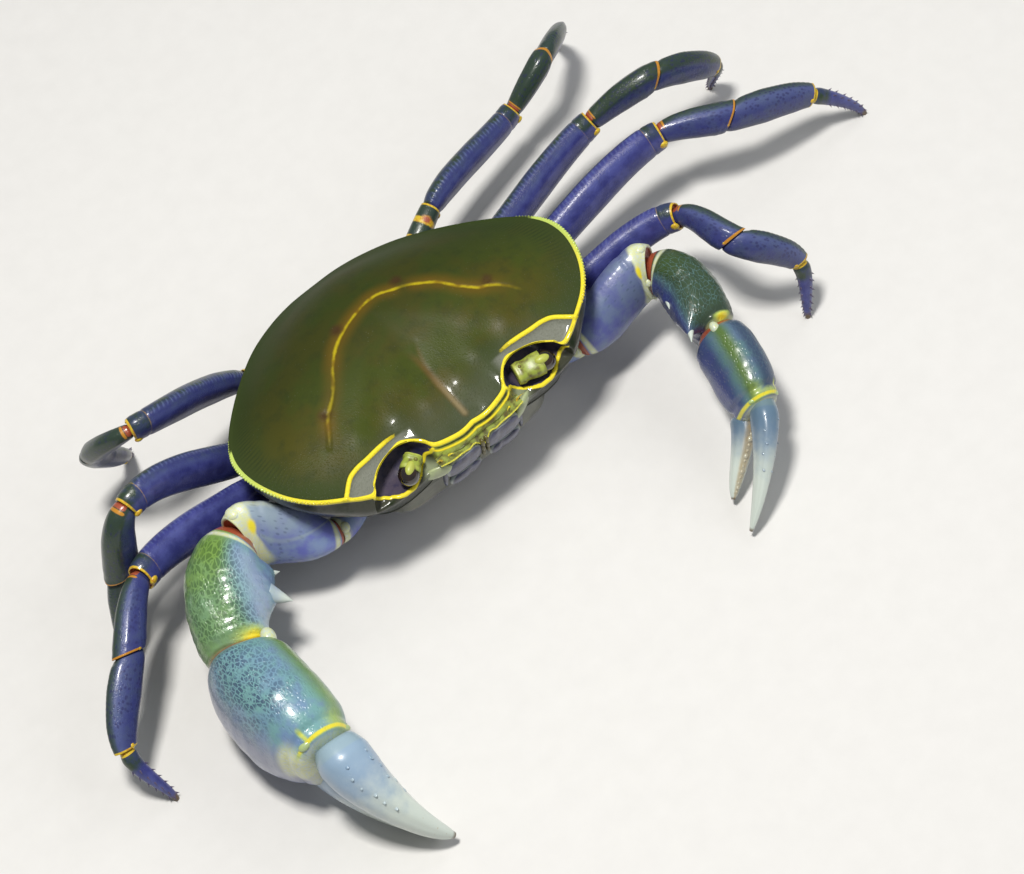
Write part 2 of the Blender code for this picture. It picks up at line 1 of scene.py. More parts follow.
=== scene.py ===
"""Looks of a life-size freshwater crab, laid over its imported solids.

Sizes are millimetres in the crab's own frame unless a name says otherwise: +X is its left, -Y is
forward, +Z is up, z = 0 is the floor, and the middle of the frontal edge is over x = y = 0.
SHIFT takes that frame to the model's, and every mesh is written in metres.
"""

import math

import bpy
import numpy as np
from mathutils import Matrix, Vector


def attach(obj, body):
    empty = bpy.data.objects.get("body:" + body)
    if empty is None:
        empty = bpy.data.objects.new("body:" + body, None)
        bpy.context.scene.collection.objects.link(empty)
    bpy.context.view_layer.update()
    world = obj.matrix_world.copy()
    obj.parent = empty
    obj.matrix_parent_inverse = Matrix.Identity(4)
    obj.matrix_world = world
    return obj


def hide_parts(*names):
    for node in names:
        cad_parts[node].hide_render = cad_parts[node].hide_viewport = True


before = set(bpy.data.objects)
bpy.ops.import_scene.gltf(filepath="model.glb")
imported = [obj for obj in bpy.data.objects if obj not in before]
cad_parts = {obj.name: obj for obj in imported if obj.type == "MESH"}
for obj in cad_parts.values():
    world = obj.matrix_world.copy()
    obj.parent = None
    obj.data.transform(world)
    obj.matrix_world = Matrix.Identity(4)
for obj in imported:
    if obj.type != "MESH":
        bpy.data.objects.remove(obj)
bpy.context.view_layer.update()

MM = 0.001
SHIFT = np.array([9.5284, 8.9938, 0.0])
GAP = 0.3
FAR_OFF = 99.0
SIGN = {"left": 1.0, "right": -1.0}
rng = np.random.default_rng(7)

# Camera, at the photograph's viewing angle
CAMERA_TARGET = (2.209, -8.258, 22.0)
CAMERA_AZIMUTH = -25.33
CAMERA_ELEVATION = 55.0
CAMERA_ROLL = -17.65
CAMERA_DISTANCE = 510.69
CAMERA_LENS = 120.0
CAMERA_SENSOR = 36.0
CAMERA_CLIP = (0.01, 50.0)

# Each light: its way as shares right, up and towards the camera, then distance, size, power and colour
LIGHTS = (
    ("key", (-0.26, 0.50, 1.0), 0.62, 0.10, 3.9, (1.0, 0.98, 0.94)),
    ("fill", (0.9, 0.5, 1.0), 0.8, 0.5, 1.1, (0.93, 0.96, 1.0)),
    ("back", (0.3, 1.0, 0.35), 0.9, 0.5, 1.2, (1.0, 1.0, 1.0)),
)
SKY_COLOUR = (0.90, 0.94, 1.0, 1.0)
SKY_STRENGTH = 0.22
FLOOR_HALF = 3.0

# Carapace
CARAPACE_WIDTH = 63.0
CARAPACE_LENGTH = 42.0
DOME_CENTRE_Y = 22.0
DOME_TOP = 27.8
FRONT_POWER = 1.3
BACK_POWER = 2.3
SHELL_SIDES = 960
SHELL_ROWS = 150
FLANK_ROWS = 70
RIM = (
    (0.000, -0.030, 21.3), (0.060, -0.038, 21.4), (0.118, -0.038, 21.7), (0.200, -0.024, 22.0),
    (0.229, -0.008, 22.2), (0.250, 0.017, 22.8), (0.300, 0.052, 23.0), (0.380, 0.067, 23.0),
    (0.480, 0.050, 22.8), (0.560, 0.013, 22.4), (0.597, -0.019, 21.9), (0.650, -0.010, 22.3),
    (0.721, 0.014, 23.2), (0.841, 0.072, 24.0), (0.930, 0.154, 24.6), (0.984, 0.252, 25.0),
    (1.000, 0.350, 24.8), (0.975, 0.447, 24.0), (0.895, 0.552, 22.6), (0.765, 0.670, 21.0),
    (0.610, 0.785, 19.4), (0.460, 0.875, 18.0), (0.300, 0.935, 17.0), (0.150, 0.965, 16.5),
    (0.000, 0.972, 16.3),
)
WALL = (
    (0.0, -1.3, 18.4), (3.7, -1.5, 18.4), (7.2, -1.6, 18.0), (10.0, -1.7, 17.0), (15.0, -1.5, 16.2),
    (18.8, -0.4, 16.0), (21.8, 2.0, 16.0), (26.0, 8.0, 16.5), (27.6, 15.0, 16.5), (25.6, 22.5, 16.0),
    (19.0, 31.0, 15.8), (9.8, 36.0, 15.3), (0.0, 37.4, 15.2),
)
SEAM = (
    (0.0, -1.0, 17.3), (3.7, -1.2, 17.3), (7.2, -1.2, 16.8), (10.0, -1.0, 15.0), (14.2, -0.6, 14.0),
    (17.4, 0.4, 13.8), (20.0, 3.3, 13.8), (23.0, 9.0, 14.0), (24.2, 15.0, 14.2), (23.0, 22.0, 14.0),
    (17.8, 29.6, 14.2), (9.0, 34.2, 14.2), (0.0, 35.4, 14.2),
)
FLANK_BULGE = 1.2
ORBIT_INNER = 0.228
ORBIT_OUTER = 0.600
ORBIT_BACK_Y = 4.9
ORBIT_BACK_Z = 20.3
ORBIT_FLOOR_Y = 1.8
ORBIT_FLOOR_Z = 18.2
LOWER_ORBIT_Y = -2.0
LOWER_ORBIT_Z = 18.3
# How far down the flank an eye socket's lower edge lies, as a share of its rows
ORBIT_DEPTH = 0.667

# Lines on the shell, of the left half, as (x, y) or (x, y, z)
CREST = ((22.7, 0.7), (20.3, 2.8), (18.4, 3.45), (16.2, 3.65), (13.8, 3.95), (11.8, 4.1), (9.4, 3.95))
CRESCENT = (
    (-19.2, 8.5), (-17.6, 10.6), (-16.2, 12.4), (-13.1, 14.9), (-10.2, 18.4), (-7.1, 21.2), (-2.5, 23.1),
    (2.1, 23.8), (5.2, 22.6), (7.5, 21.6), (10.9, 18.9), (12.7, 16.2), (14.8, 13.9), (16.6, 13.0),
    (18.5, 11.1), (20.0, 8.7),
)
FURROW = ((0.0, 0.4), (0.0, 3.5), (0.0, 7.2), (0.1, 10.8), (-0.7, 13.5))
FURROW_FORK = ((0.1, 8.8), (0.9, 11.3), (1.8, 13.2))
PITS = ((-5.7, 23.2), (6.6, 23.7), (16.7, 14.0), (-16.2, 13.0))
# Low pads behind the frontal edge, as (x outward, y, height), and the square of their spread
FRONT_PADS = ((3.0, 4.9, 0.24), (8.0, 5.9, 0.26), (14.5, 7.0, 0.12))
PAD_SPREAD = 3.6
# Half width of the yellow line, as (run along the rim from the middle of the front, half width)
RIM_LINE = ((0.0, 0.34), (7.0, 0.34), (12.0, 0.46), (24.0, 0.40), (30.0, 0.42), (42.0, 0.42))
# Row of beads beyond that line, by run along the rim
BEADS_FROM = 29.0
BEADS_TO = 53.0
BEAD_STEP = 0.56
BEAD_SIZE = 0.27

# Body under the carapace
BODY_MIDDLE_Y = 17.0
BODY_RINGS = ((12.6, 0.82, 0.94), (8.0, 0.80, 0.90), (5.6, 0.60, 0.74))
ABDOMEN = ((31.5, 5.4), (26.0, 6.6), (20.0, 5.6), (14.0, 3.6), (10.5, 1.6))
ABDOMEN_THICKNESS = 0.9
ABDOMEN_PLATES = 7
STERNUM_SIDES = 480
STERNUM_SEAMS = (3.5, 9.5, 14.5, 19.5, 24.5, 29.0)

EYES = {
    "left": ((10.3, 0.9, 20.6), (15.2, -0.2, 20.4)),
    "right": ((-10.1, 0.8, 20.8), (-12.6, -1.0, 20.4)),
}
EYESTALK_RADIUS = 1.55
EYESTALK_WIDE = {"left": 1.22, "right": 1.08}
CORNEA_RADIUS = 1.7
MOUTH_PLATE = ((3.8, -2.9, 18.6), (3.9, -1.5, 11.4))
MOUTH_PLATE_HALF = (3.5, 0.75)
# Height of the epistome's lower and upper edges, as (x outward, z)
EPISTOME_HALF = 8.1
EPISTOME_LOW = (
    (0.0, 17.5), (0.5, 17.65), (1.3, 18.7), (1.8, 18.85), (2.6, 18.45), (3.3, 18.75), (4.2, 18.95),
    (5.6, 19.0), (6.8, 19.4), (8.1, 20.1),
)
EPISTOME_HIGH = ((0.0, 20.75), (3.0, 20.95), (6.0, 21.15), (8.1, 20.9))

# Walking legs: joints of each side as (x outward, y, z)
HIP_HEIGHT = 10.0
HIPS = {2: (20.4, 15.8), 3: (19.6, 22.9), 4: (16.4, 28.5), 5: (10.8, 32.2)}
BASE_LENGTH = 7.6
BASE_RISE = 0.25
LEFT_LEGS = {
    2: ((48.8, 7.4, 17.0), (50.8, -3.3, 18.5), (58.2, -8.9, 10.5), (56.4, -11.6, 0.0)),
    3: ((58.2, 22.5, 16.0), (68.3, 17.7, 15.0), (82.6, 14.7, 9.5), (90.6, 11.7, 0.0)),
    4: ((53.1, 34.3, 14.0), (64.4, 31.1, 17.5), (75.8, 30.8, 10.0), (77.0, 34.8, 0.0)),
    5: ((46.2, 46.6, 13.0), (54.4, 47.9, 17.0), (62.5, 54.5, 11.5), (65.4, 61.0, 0.0)),
}
RIGHT_LEGS = {
    2: ((44.6, 12.0, 8.0), (48.6, 5.6, 6.0), (46.4, -3.0, 2.5), (42.3, 3.6, 0.0)),
    3: ((52.4, 16.0, 18.0), (61.1, 8.3, 15.5), (70.2, -0.7, 9.5), (68.4, -7.1, 0.0)),
    4: ((48.0, 21.8, 26.5), (53.2, 20.9, 16.0), (58.1, 17.6, 5.0), (63.3, 12.2, 0.0)),
    5: ((39.0, 33.6, 25.5), (44.0, 39.6, 18.5), (39.4, 43.5, 8.0), (36.6, 48.8, 0.0)),
}
FIFTH_LEG_ROOT = {"left": (23.6, 40.0, 14.3), "right": (18.2, 36.6, 13.6)}
LEG_SIZE = {2: 1.00, 3: 1.08, 4: 1.04, 5: 0.98}
PROPODUS_SIZE = {2: 1.15, 3: 1.15, 4: 1.15, 5: 1.25}
CARPUS_SIZE = {("right", 4): 1.16, ("right", 5): 0.88}
DACTYL_DROP = 0.9
LEG_SIDES = 64
KNOB_RADIUS = {"base": 0.50, "merus": 0.72, "carpus": 0.30, "propodus": 0.42}
# How square a limb and the boxier small parts are in section: 1 is round, less is squarer
LIMB_POWER = 2 / 2.3
BOXY = 2 / 3.2
BEND_PULL = 0.28

# Half width and half depth of each leg piece along its length, in mm on the third leg
BASE_FORM = ((0.0, 2.2, 2.1), (0.35, 2.1, 2.1), (0.7, 1.9, 2.05), (1.0, 1.7, 1.95))
MERUS_FORM = (
    (0.0, 1.45, 1.8), (0.07, 1.8, 2.4), (0.25, 2.05, 2.85), (0.55, 2.05, 2.95), (0.82, 1.95, 2.65),
    (0.95, 1.9, 2.45), (1.0, 1.6, 2.1),
)
CARPUS_FORM = ((0.0, 1.35, 1.6), (0.10, 1.5, 1.8), (0.5, 1.85, 2.25), (0.85, 2.0, 2.4), (1.0, 1.75, 2.15))
PROPODUS_FORM = (
    (0.0, 1.50, 1.75), (0.08, 1.6, 2.0), (0.4, 1.65, 2.2), (0.75, 1.5, 1.95), (1.0, 1.20, 1.55),
)
DACTYL_FORM = ((0.0, 0.95, 1.15), (0.12, 1.2, 1.4), (0.45, 0.95, 1.1), (0.8, 0.65, 0.72), (1.0, 0.42, 0.42))

# Claw arms: joints as (x outward, y, z), and the way up of each piece as (x outward, y, z)
CLAW_HIP = (17.8, 8.2, 9.6)
MAJOR = {
    "side": "right",
    "root": (24.5, 5.4, 10.8), "elbow": (37.7, 10.8, 17.0), "wrist": (48.9, -3.1, 12.7),
    "palm_end": (50.2, -25.0, 11.7), "merus_up": (0.39, 0.66, 0.64), "carpus_up": (0.25, 0.15, 0.95),
    "palm_up": (-0.15, -0.10, 0.98),
    "merus": (2.9, 6.3), "carpus": (6.4, 6.8), "palm": (7.2, 10.4), "finger": (3.3, 4.1),
    "dactyl": (4.2, 4.1),
    "dactyl_root": (48.5, -26.9, 15.2), "dactyl_tip": (42.5, -43.0, 1.9),
    "dactyl_leave": (0.10, -0.92, -0.38), "dactyl_arrive": (-0.62, -0.40, -0.68),
    "pollex_root": (49.6, -21.6, 7.4), "pollex_tip": (43.2, -40.6, 1.5),
    "pollex_leave": (-0.02, -0.95, -0.30), "pollex_arrive": (-0.55, -0.80, -0.10),
}
MINOR = {
    "side": "left",
    "root": (24.2, 4.6, 10.8), "elbow": (39.6, 3.8, 15.0), "wrist": (39.0, -11.2, 13.0),
    "palm_end": (35.4, -24.4, 9.8), "merus_up": (-0.16, 0.40, 0.90), "carpus_up": (0.45, -0.10, 0.88),
    "palm_up": (0.46, -0.39, 0.79),
    "merus": (3.3, 5.5), "carpus": (4.3, 5.3), "palm": (4.0, 5.9), "finger": (2.0, 2.5),
    "dactyl": (2.05, 2.4),
    "dactyl_root": (35.8, -25.3, 11.3), "dactyl_tip": (22.7, -35.5, 1.5),
    "dactyl_leave": (-0.50, -0.80, -0.20), "dactyl_arrive": (-0.69, -0.25, -0.67),
    "pollex_root": (34.2, -22.2, 7.0), "pollex_tip": (24.6, -29.4, 1.6),
    "pollex_leave": (-0.55, -0.75, -0.35), "pollex_arrive": (-0.65, -0.52, -0.50),
}
# Thorns of the large claw's carpus, as root, tip and radius, and of the small claw's, as place along,
# turn round, reach and radius
MAJOR_THORNS = (
    ((39.5, 1.6, 15.0), (37.3, -1.2, 13.6), 1.7),
    ((38.0, 5.6, 14.0), (35.4, 4.8, 12.9), 1.12),
)
MINOR_THORNS = ((0.69, 80.0, 7.8, 1.45), (0.38, 96.0, 3.6, 0.95))
# The cone that each thorn grows out of, as reach in thorn radii and share of the thorn
THORN_CONES = ((1.76, 0.85), (1.75, 0.60))
CLAW_SIDES = 112
CLAW_BASE_SIZE = (1.15, 1.1)
FINGER_SIZE = {"right": 1.0, "left": 0.60}
TEETH = 12
# A carpus or palm with a larger half width than this is the large claw's
LARGE_CLAW_HALF = 6.0
# A distance from a claw arm's pale line at which nothing of it shows
NO_LINE = 9.0
MERUS_SWELL = {
    "right": (
        (0.0, 0.72, 0.34), (0.1, 0.82, 0.42), (0.3, 0.92, 0.60), (0.55, 1.0, 0.84), (0.8, 1.0, 1.0),
        (0.92, 0.96, 0.98), (1.0, 0.82, 0.80),
    ),
    "left": (
        (0.0, 0.72, 0.40), (0.1, 0.82, 0.58), (0.3, 0.92, 0.82), (0.55, 1.0, 0.96), (0.8, 1.0, 1.0),
        (0.92, 0.96, 0.98), (1.0, 0.82, 0.80),
    ),
}
CARPUS_SWELL = (
    (0.0, 0.56, 0.52), (0.12, 0.78, 0.74), (0.35, 0.97, 0.95), (0.6, 1.0, 1.0), (0.85, 0.92, 0.90),
    (0.95, 0.80, 0.78), (1.0, 0.64, 0.62),
)
PALM_SWELL = (
    (0.0, 0.70, 0.62), (0.08, 0.86, 0.82), (0.22, 0.97, 0.94), (0.42, 1.0, 0.98), (0.62, 0.99, 0.99),
    (0.82, 0.92, 0.90), (0.93, 0.80, 0.79), (1.0, 0.66, 0.70),
)
FINGER_TAPER = (
    (0.0, 0.85, 0.90), (0.07, 1.0, 1.0), (0.2, 0.92, 0.96), (0.32, 0.86, 0.84), (0.44, 0.76, 0.78),
    (0.56, 0.66, 0.66), (0.68, 0.56, 0.58), (0.80, 0.44, 0.44), (0.91, 0.30, 0.30), (1.0, 0.13, 0.13),
)
DACTYL_TAPER = (
    (0.0, 0.92, 0.88), (0.07, 0.99, 1.0), (0.2, 0.94, 0.97), (0.32, 0.83, 0.86), (0.44, 0.71, 0.78),
    (0.56, 0.58, 0.66), (0.68, 0.45, 0.56), (0.80, 0.34, 0.43), (0.91, 0.23, 0.29), (1.0, 0.11, 0.13),
)


# Vectors and lines

def unit(vector):
    vector = np.asarray(vector, float)
    return vector / np.linalg.norm(vector)


def unit_rows(rows):
    return rows / np.linalg.norm(rows, axis=-1, keepdims=True)


def square_rows(vectors, axes):
    """Each vector's part that is square to its axis, at length one."""
    return unit_rows(vectors - axes * (vectors * axes).sum(-1, keepdims=True))


def square_to(vector, axis):
    return square_rows(np.asarray(vector, float), unit(axis))


def smooth_line(knots, places):
    """Values at places 0..1 on a smooth line through knots that are evenly counted."""
    knots = np.asarray(knots, float)
    spread = np.asarray(places) * (len(knots) - 1)
    low = np.clip(spread.astype(int), 0, len(knots) - 2)
    part = (spread - low).reshape((-1,) + (1,) * (knots.ndim - 1))
    before = knots[np.maximum(low - 1, 0)]
    start = knots[low]
    end = knots[low + 1]
    after = knots[np.minimum(low + 2, len(knots) - 1)]
    leave = (end - before) / 2
    arrive = (after - start) / 2
    return (
        start * (2 * part**3 - 3 * part**2 + 1) + leave * (part**3 - 2 * part**2 + part)
        + end * (3 * part**2 - 2 * part**3) + arrive * (part**3 - part**2)
    )


def soft_step(value, low, high):
    """0 below low, 1 above high, eased between; low may be above high."""
    share = np.clip((np.asarray(value, float) - low) / (high - low), 0, 1)
    return share * share * (3 - 2 * share)


def hump(value, middle, half):
    """1 at the middle, falling to 0 at half away from it."""
    return soft_step(np.abs(np.asarray(value, float) - middle), half, 0.0)


def bell(value, width):
    """1 at zero, falling off evenly to both sides."""
    return np.exp(-((value / width) ** 2))


def full_turn(sides):
    return np.linspace(0, 2 * math.pi, sides, endpoint=False)


def squared(wave, power):
    """A sine or cosine pushed towards a square wave by a power below 1."""
    return np.sign(wave) * np.abs(wave) ** power


def ripple(run, length):
    """A wave from 0 to 1 along a run, one for each length."""
    return 0.5 + 0.5 * np.sin(run * 2 * math.pi / length)


def near_line(points, line):
    """Distance of each point from a line through knots, and how far along the line it is, from 0 to 1."""
    line = smooth_line(line, np.linspace(0, 1, 8 * len(line)))
    flat = points.reshape(-1, points.shape[-1])[:, :line.shape[1]]
    best = np.full(len(flat), 1e9)
    where = np.zeros(len(flat))
    for index, (a, b) in enumerate(zip(line, line[1:])):
        span = b - a
        share = np.clip(((flat - a) @ span) / max(span @ span, 1e-12), 0, 1)
        away = np.linalg.norm(flat - a - share[:, None] * span, axis=1)
        closer = away < best
        best[closer] = away[closer]
        where[closer] = ((index + share) / (len(line) - 1))[closer]
    return best.reshape(points.shape[:-1]), where.reshape(points.shape[:-1])


def eased_table(table, places):
    """The columns of a table, with the place first, read at other places and rounded between its rows."""
    table = np.asarray(table, float)
    fine = np.linspace(0, 1, 401)
    window = 25
    columns = []
    for column in table.T[1:]:
        values = np.interp(fine, table[:, 0], column)
        padded = np.concatenate([
            2 * values[0] - values[window // 2:0:-1], values, 2 * values[-1] - values[-2:-window // 2 - 1:-1],
        ])
        calm = np.convolve(padded, np.ones(window) / window, "valid")
        columns.append(np.interp(places, fine, calm[:len(fine)]))
    return np.array(columns).T


# Meshes

class Skin:
    """Gathers grids of points into one mesh, with a number per point for each named trait."""

    def __init__(self):
        self.points = []
        self.quads = []
        self.corners = []
        self.traits = []
        self.count = 0

    def add_points(self, points, traits):
        points = np.asarray(points, float).reshape(-1, 3)
        full = {name: np.broadcast_to(value, len(points)) for name, value in traits.items()}
        self.points.append(points)
        self.traits.append((len(points), full))
        first = self.count
        self.count += len(points)
        return first

    def grid(self, points, traits, wrap=True, flip=False, start=False, end=False):
        """A surface through rows of points. start and end close it with a fan to the row's middle."""
        rows, sides = points.shape[:2]
        spread = {name: np.broadcast_to(value, (rows, sides)) for name, value in traits.items()}
        first = self.add_points(points, {name: value.ravel() for name, value in spread.items()})
        number = first + np.arange(rows * sides).reshape(rows, sides)
        ahead = np.roll(number, -1, axis=1)
        span = slice(None) if wrap else slice(0, sides - 1)
        a, b = number[:-1, span], ahead[:-1, span]
        c, d = ahead[1:, span], number[1:, span]
        order = (a, d, c, b) if flip else (a, b, c, d)
        self.quads.append(np.stack(order, -1).reshape(-1, 4))
        for wanted, row, forward in ((start, 0, False), (end, rows - 1, True)):
            if wanted:
                own = {name: value[row].mean() for name, value in spread.items()}
                middle = self.add_points(points[row].mean(0), own)
                one, two = number[row], ahead[row]
                if forward == flip:
                    one, two = two, one
                self.corners.append(np.stack([one, two, np.full(sides, middle)], -1))

    def blob(self, centre, axes, traits, sides, rows):
        """An egg-shaped lump with three half axes given as vectors."""
        lift = np.linspace(-math.pi / 2, math.pi / 2, rows + 2)[1:-1]
        turn = full_turn(sides)
        x = np.cos(lift)[:, None] * np.cos(turn)
        y = np.cos(lift)[:, None] * np.sin(turn)
        z = np.sin(lift)[:, None] * np.ones(sides)
        axes = np.asarray(axes, float)
        points = np.asarray(centre) + x[..., None] * axes[0] + y[..., None] * axes[1] + z[..., None] * axes[2]
        self.grid(points, traits, flip=np.linalg.det(axes) < 0, start=True, end=True)

    def lump(self, limb, spot, half, traits, sides, rows, along=None):
        """A blob on a limb. spot is its place, turn and share out, half its size out, round and along."""
        point, way, own = limb.at(*spot)
        along = own if along is None else along
        axes = (way * half[0], np.cross(along, way) * half[1], along * half[2])
        self.blob(point, axes, traits, sides, rows)

    def thorn(self, root, tip, radius, traits, sides=14, rows=12, bow=0.0, power=1.0):
        """A pointed spine from root to tip, whose tip trait runs from 0 to 1."""
        way = unit(tip - root)
        up = square_to((0.13, 0.21, 1.0), way)
        side = np.cross(up, way)
        share = np.linspace(0, 1, rows)
        swell = radius * np.maximum((1 - share) ** power, 0.05)
        middle = root + np.outer(share, tip - root) + up * (bow * np.sin(share * math.pi))[:, None]
        turn = full_turn(sides)
        ring = np.cos(turn)[:, None] * side + np.sin(turn)[:, None] * up
        points = middle[:, None] + ring[None] * swell[:, None, None]
        self.grid(points, traits | {"tip": share[:, None]}, start=True, end=True)

    def make(self, name, finish, node):
        """The gathered mesh as one piece of the model, standing for a node."""
        points = (np.vstack(self.points) - SHIFT) * MM
        quads = np.vstack(self.quads)
        corners = np.vstack(self.corners)
        mesh = bpy.data.meshes.new(name)
        mesh.vertices.add(len(points))
        mesh.vertices.foreach_set("co", points.astype(np.float32).ravel())
        loops = np.concatenate([quads.ravel(), corners.ravel()])
        starts = np.concatenate([np.arange(len(quads)) * 4, len(quads) * 4 + np.arange(len(corners)) * 3])
        mesh.loops.add(len(loops))
        mesh.loops.foreach_set("vertex_index", loops.astype(np.int32))
        mesh.polygons.add(len(starts))
        mesh.polygons.foreach_set("loop_start", starts.astype(np.int32))
        mesh.update(calc_edges=True)
        for key in sorted({key for _, own in self.traits for key in own}):
            values = [np.asarray(own.get(key, 0.0)) * np.ones(count) for count, own in self.traits]
            layer = mesh.attributes.new(key, "FLOAT", "POINT")
            layer.data.foreach_set("value", np.concatenate(values).astype(np.float32))
        mesh.shade_smooth()
        mesh.materials.append(FINISHES[finish])
        piece = bpy.data.objects.new(name, mesh)
        bpy.context.scene.collection.objects.link(piece)
        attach(piece, "root")
        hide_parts(node)


# Limbs

def bend(start, start_way, end, end_way, places):
    """Points and ways along a curve that leaves and arrives in the ways given."""
    pull = BEND_PULL * np.linalg.norm(end - start)
    first = start + start_way * pull
    second = end - end_way * pull
    t = np.asarray(places)[:, None]
    points = start * (1 - t) ** 3 + first * 3 * t * (1 - t) ** 2 + second * 3 * t * t * (1 - t) + end * t**3
    slopes = (first - start) * (1 - t) ** 2 + (second - first) * 2 * t * (1 - t) + (end - second) * t * t
    return points, unit_rows(slopes)


class Limb:
    """A piece of a limb between two joints: its surface, and the frame of each row of it."""

    def __init__(
        self, start, start_way, end, end_way, ups, form, scale, rows, sides, relief=None,
        slants=((0.0, 0.0), (0.0, 0.0)),
    ):
        start_way, end_way = unit(start_way), unit(end_way)
        start = np.asarray(start, float) + start_way * GAP / 2
        end = np.asarray(end, float) - end_way * GAP / 2
        even = np.linspace(0, 1, rows)
        self.place = 0.45 * even + 0.55 * (0.5 - 0.5 * np.cos(math.pi * even))
        self.middle, self.way = bend(start, start_way, end, end_way, self.place)
        self.half = eased_table(form, self.place) * np.asarray(scale, float)
        share = self.place[:, None]
        self.up = square_rows(np.asarray(ups[0]) * (1 - share) + np.asarray(ups[1]) * share, self.way)
        self.side = np.cross(self.up, self.way)
        steps = np.linalg.norm(np.diff(self.middle, axis=0), axis=1)
        self.run = np.concatenate([[0.0], np.cumsum(steps)])
        self.reach = self.run[-1]
        angle = full_turn(sides)
        self.turn = (np.degrees(angle) - 90 + 180) % 360 - 180
        flat = self.half[:, :1] * squared(np.cos(angle), LIMB_POWER)
        tall = self.half[:, 1:] * squared(np.sin(angle), LIMB_POWER)
        if relief is not None:
            turn, run, _, _ = self.grids()
            grown = 1 + relief(run, turn, self) / np.hypot(flat, tall)
            flat, tall = flat * grown, tall * grown
        near = (soft_step(self.run, 4.0, 0.0)[:, None], soft_step(self.reach - self.run, 4.0, 0.0)[:, None])
        lean = sum((tall * rising + flat * aside) * share for (rising, aside), share in zip(slants, near))
        spread = self.side[:, None] * flat[..., None] + self.up[:, None] * tall[..., None]
        self.surface = self.middle[:, None] + spread + self.way[:, None] * lean[..., None]
        self.round = np.hypot(self.half[:, 0], self.half[:, 1])[:, None] * np.radians(self.turn)[None] * 0.75

    def grids(self):
        """For every point of the skin: its turn, its run, how much run is left, and its place."""
        turn = self.turn[None] * np.ones((len(self.place), 1))
        run = self.run[:, None] * np.ones_like(turn)
        return turn, run, self.reach - run, self.place[:, None] * np.ones_like(turn)

    def at(self, place, turn, out):
        """A point by its place along, turn round from the top and share out, with the ways out and along."""
        row = int(np.argmin(np.abs(self.place - place)))
        column = int(np.argmin(np.abs((self.turn - turn + 180) % 360 - 180)))
        arm = self.surface[row, column] - self.middle[row]
        return self.middle[row] + arm * out, unit(arm), self.way[row]

    def place_at(self, run):
        return float(np.interp(run, self.run, self.place))


# Rings added at a piece's two ends, as (share of the end ring's size, how far back along the limb)
NECK = ((0.70, 1.0), (0.80, 0.7), (0.88, 0.25), (0.96, 0.02))
CUP = ((0.95, -0.03), (0.90, 0.05), (0.86, 0.35), (0.70, 0.6))
DOME_END = ((0.97, -0.22), (0.90, -0.50), (0.72, -0.80), (0.45, -0.98))
FINGER_NECK = ((0.80, 1.6), (0.90, 1.0), (0.96, 0.4))
CUP_RUST = np.array([[0.0], [0.3], [1.0], [1.0]])
DOME_YELLOW = np.array([[0.45], [0.0], [0.0], [0.0]])
DOME_CREAM = np.array([[0.2], [0.5], [0.6], [0.6]])


def lay_limb(skin, limb, traits, neck=NECK, cup=CUP, rust_cup=True):
    """The limb's skin with a neck that enters the piece before it and an end that takes the next one."""
    surface = limb.surface
    rows, sides = surface.shape[:2]
    full = traits | {"run": limb.run[:, None], "round": limb.round, "top": np.cos(np.radians(limb.turn))}
    first, last = surface[0].mean(0), surface[-1].mean(0)
    before = [first + (surface[0] - first) * inset - limb.way[0] * back for inset, back in neck]
    after = [last + (surface[-1] - last) * inset - limb.way[-1] * back for inset, back in cup]
    start, end = (np.array(rings).reshape(-1, sides, 3) for rings in (before, after))
    for name, value in full.items():
        value = np.broadcast_to(value, (rows, sides))
        lead = np.repeat(value[:1], len(start), axis=0)
        tail = np.repeat(value[-1:], len(end), axis=0)
        if rust_cup and name == "rust":
            tail = np.maximum(tail, CUP_RUST[:len(end)])
        if not rust_cup and name == "yellow":
            tail = tail * DOME_YELLOW[:len(end)]
        if not rust_cup and name == "cream":
            tail = np.maximum(tail, DOME_CREAM[:len(end)])
        full[name] = np.concatenate([lead, value, tail])
    skin.grid(np.concatenate([start, surface, end]), full, start=True, end=True)


def outward(point, side):
    """A point given as outward, y and z, on the side named."""
    return np.array([SIGN[side] * point[0], point[1], point[2]])


def joint_ways(joints, first_way, last_way):
    """The way through each joint: halfway between the pieces that meet there."""
    ways = [unit(first_way)]
    for before, here, after in zip(joints, joints[1:], joints[2:]):
        ways.append(unit(unit(here - before) + unit(after - here)))
    ways.append(unit(last_way))
    return ways


# Carapace rings, as the solids have them but finer

def closed_ring(table, sides):
    """A table that runs down the left side, mirrored to a closed ring of points."""
    half = sides // 2
    left = smooth_line(table, np.arange(half + 1) / half)
    right = left[1:-1][::-1] * np.array([-1.0, 1.0, 1.0])
    return np.vstack([left, right])


def rim_ring(sides):
    return closed_ring(RIM, sides) * np.array([CARAPACE_WIDTH / 2, CARAPACE_LENGTH, 1.0])


def calmed(ring, reach):
    """A ring with its small dips taken out, by averaging along it."""
    steps = range(-reach, reach + 1)
    return sum(np.roll(ring, step, axis=0) for step in steps) / len(steps)


def orbit_share(ring):
    """How far each point of the rim is inside an eye socket, from 0 to 1."""
    across = np.abs(ring[:, 0]) / (CARAPACE_WIDTH / 2)
    front = ring[:, 1] < CARAPACE_LENGTH / 4
    middle = (ORBIT_INNER + ORBIT_OUTER) / 2
    half = (ORBIT_OUTER - ORBIT_INNER) / 2
    return np.clip(1 - ((across - middle) / half) ** 2, 0, 1) ** 0.72 * front


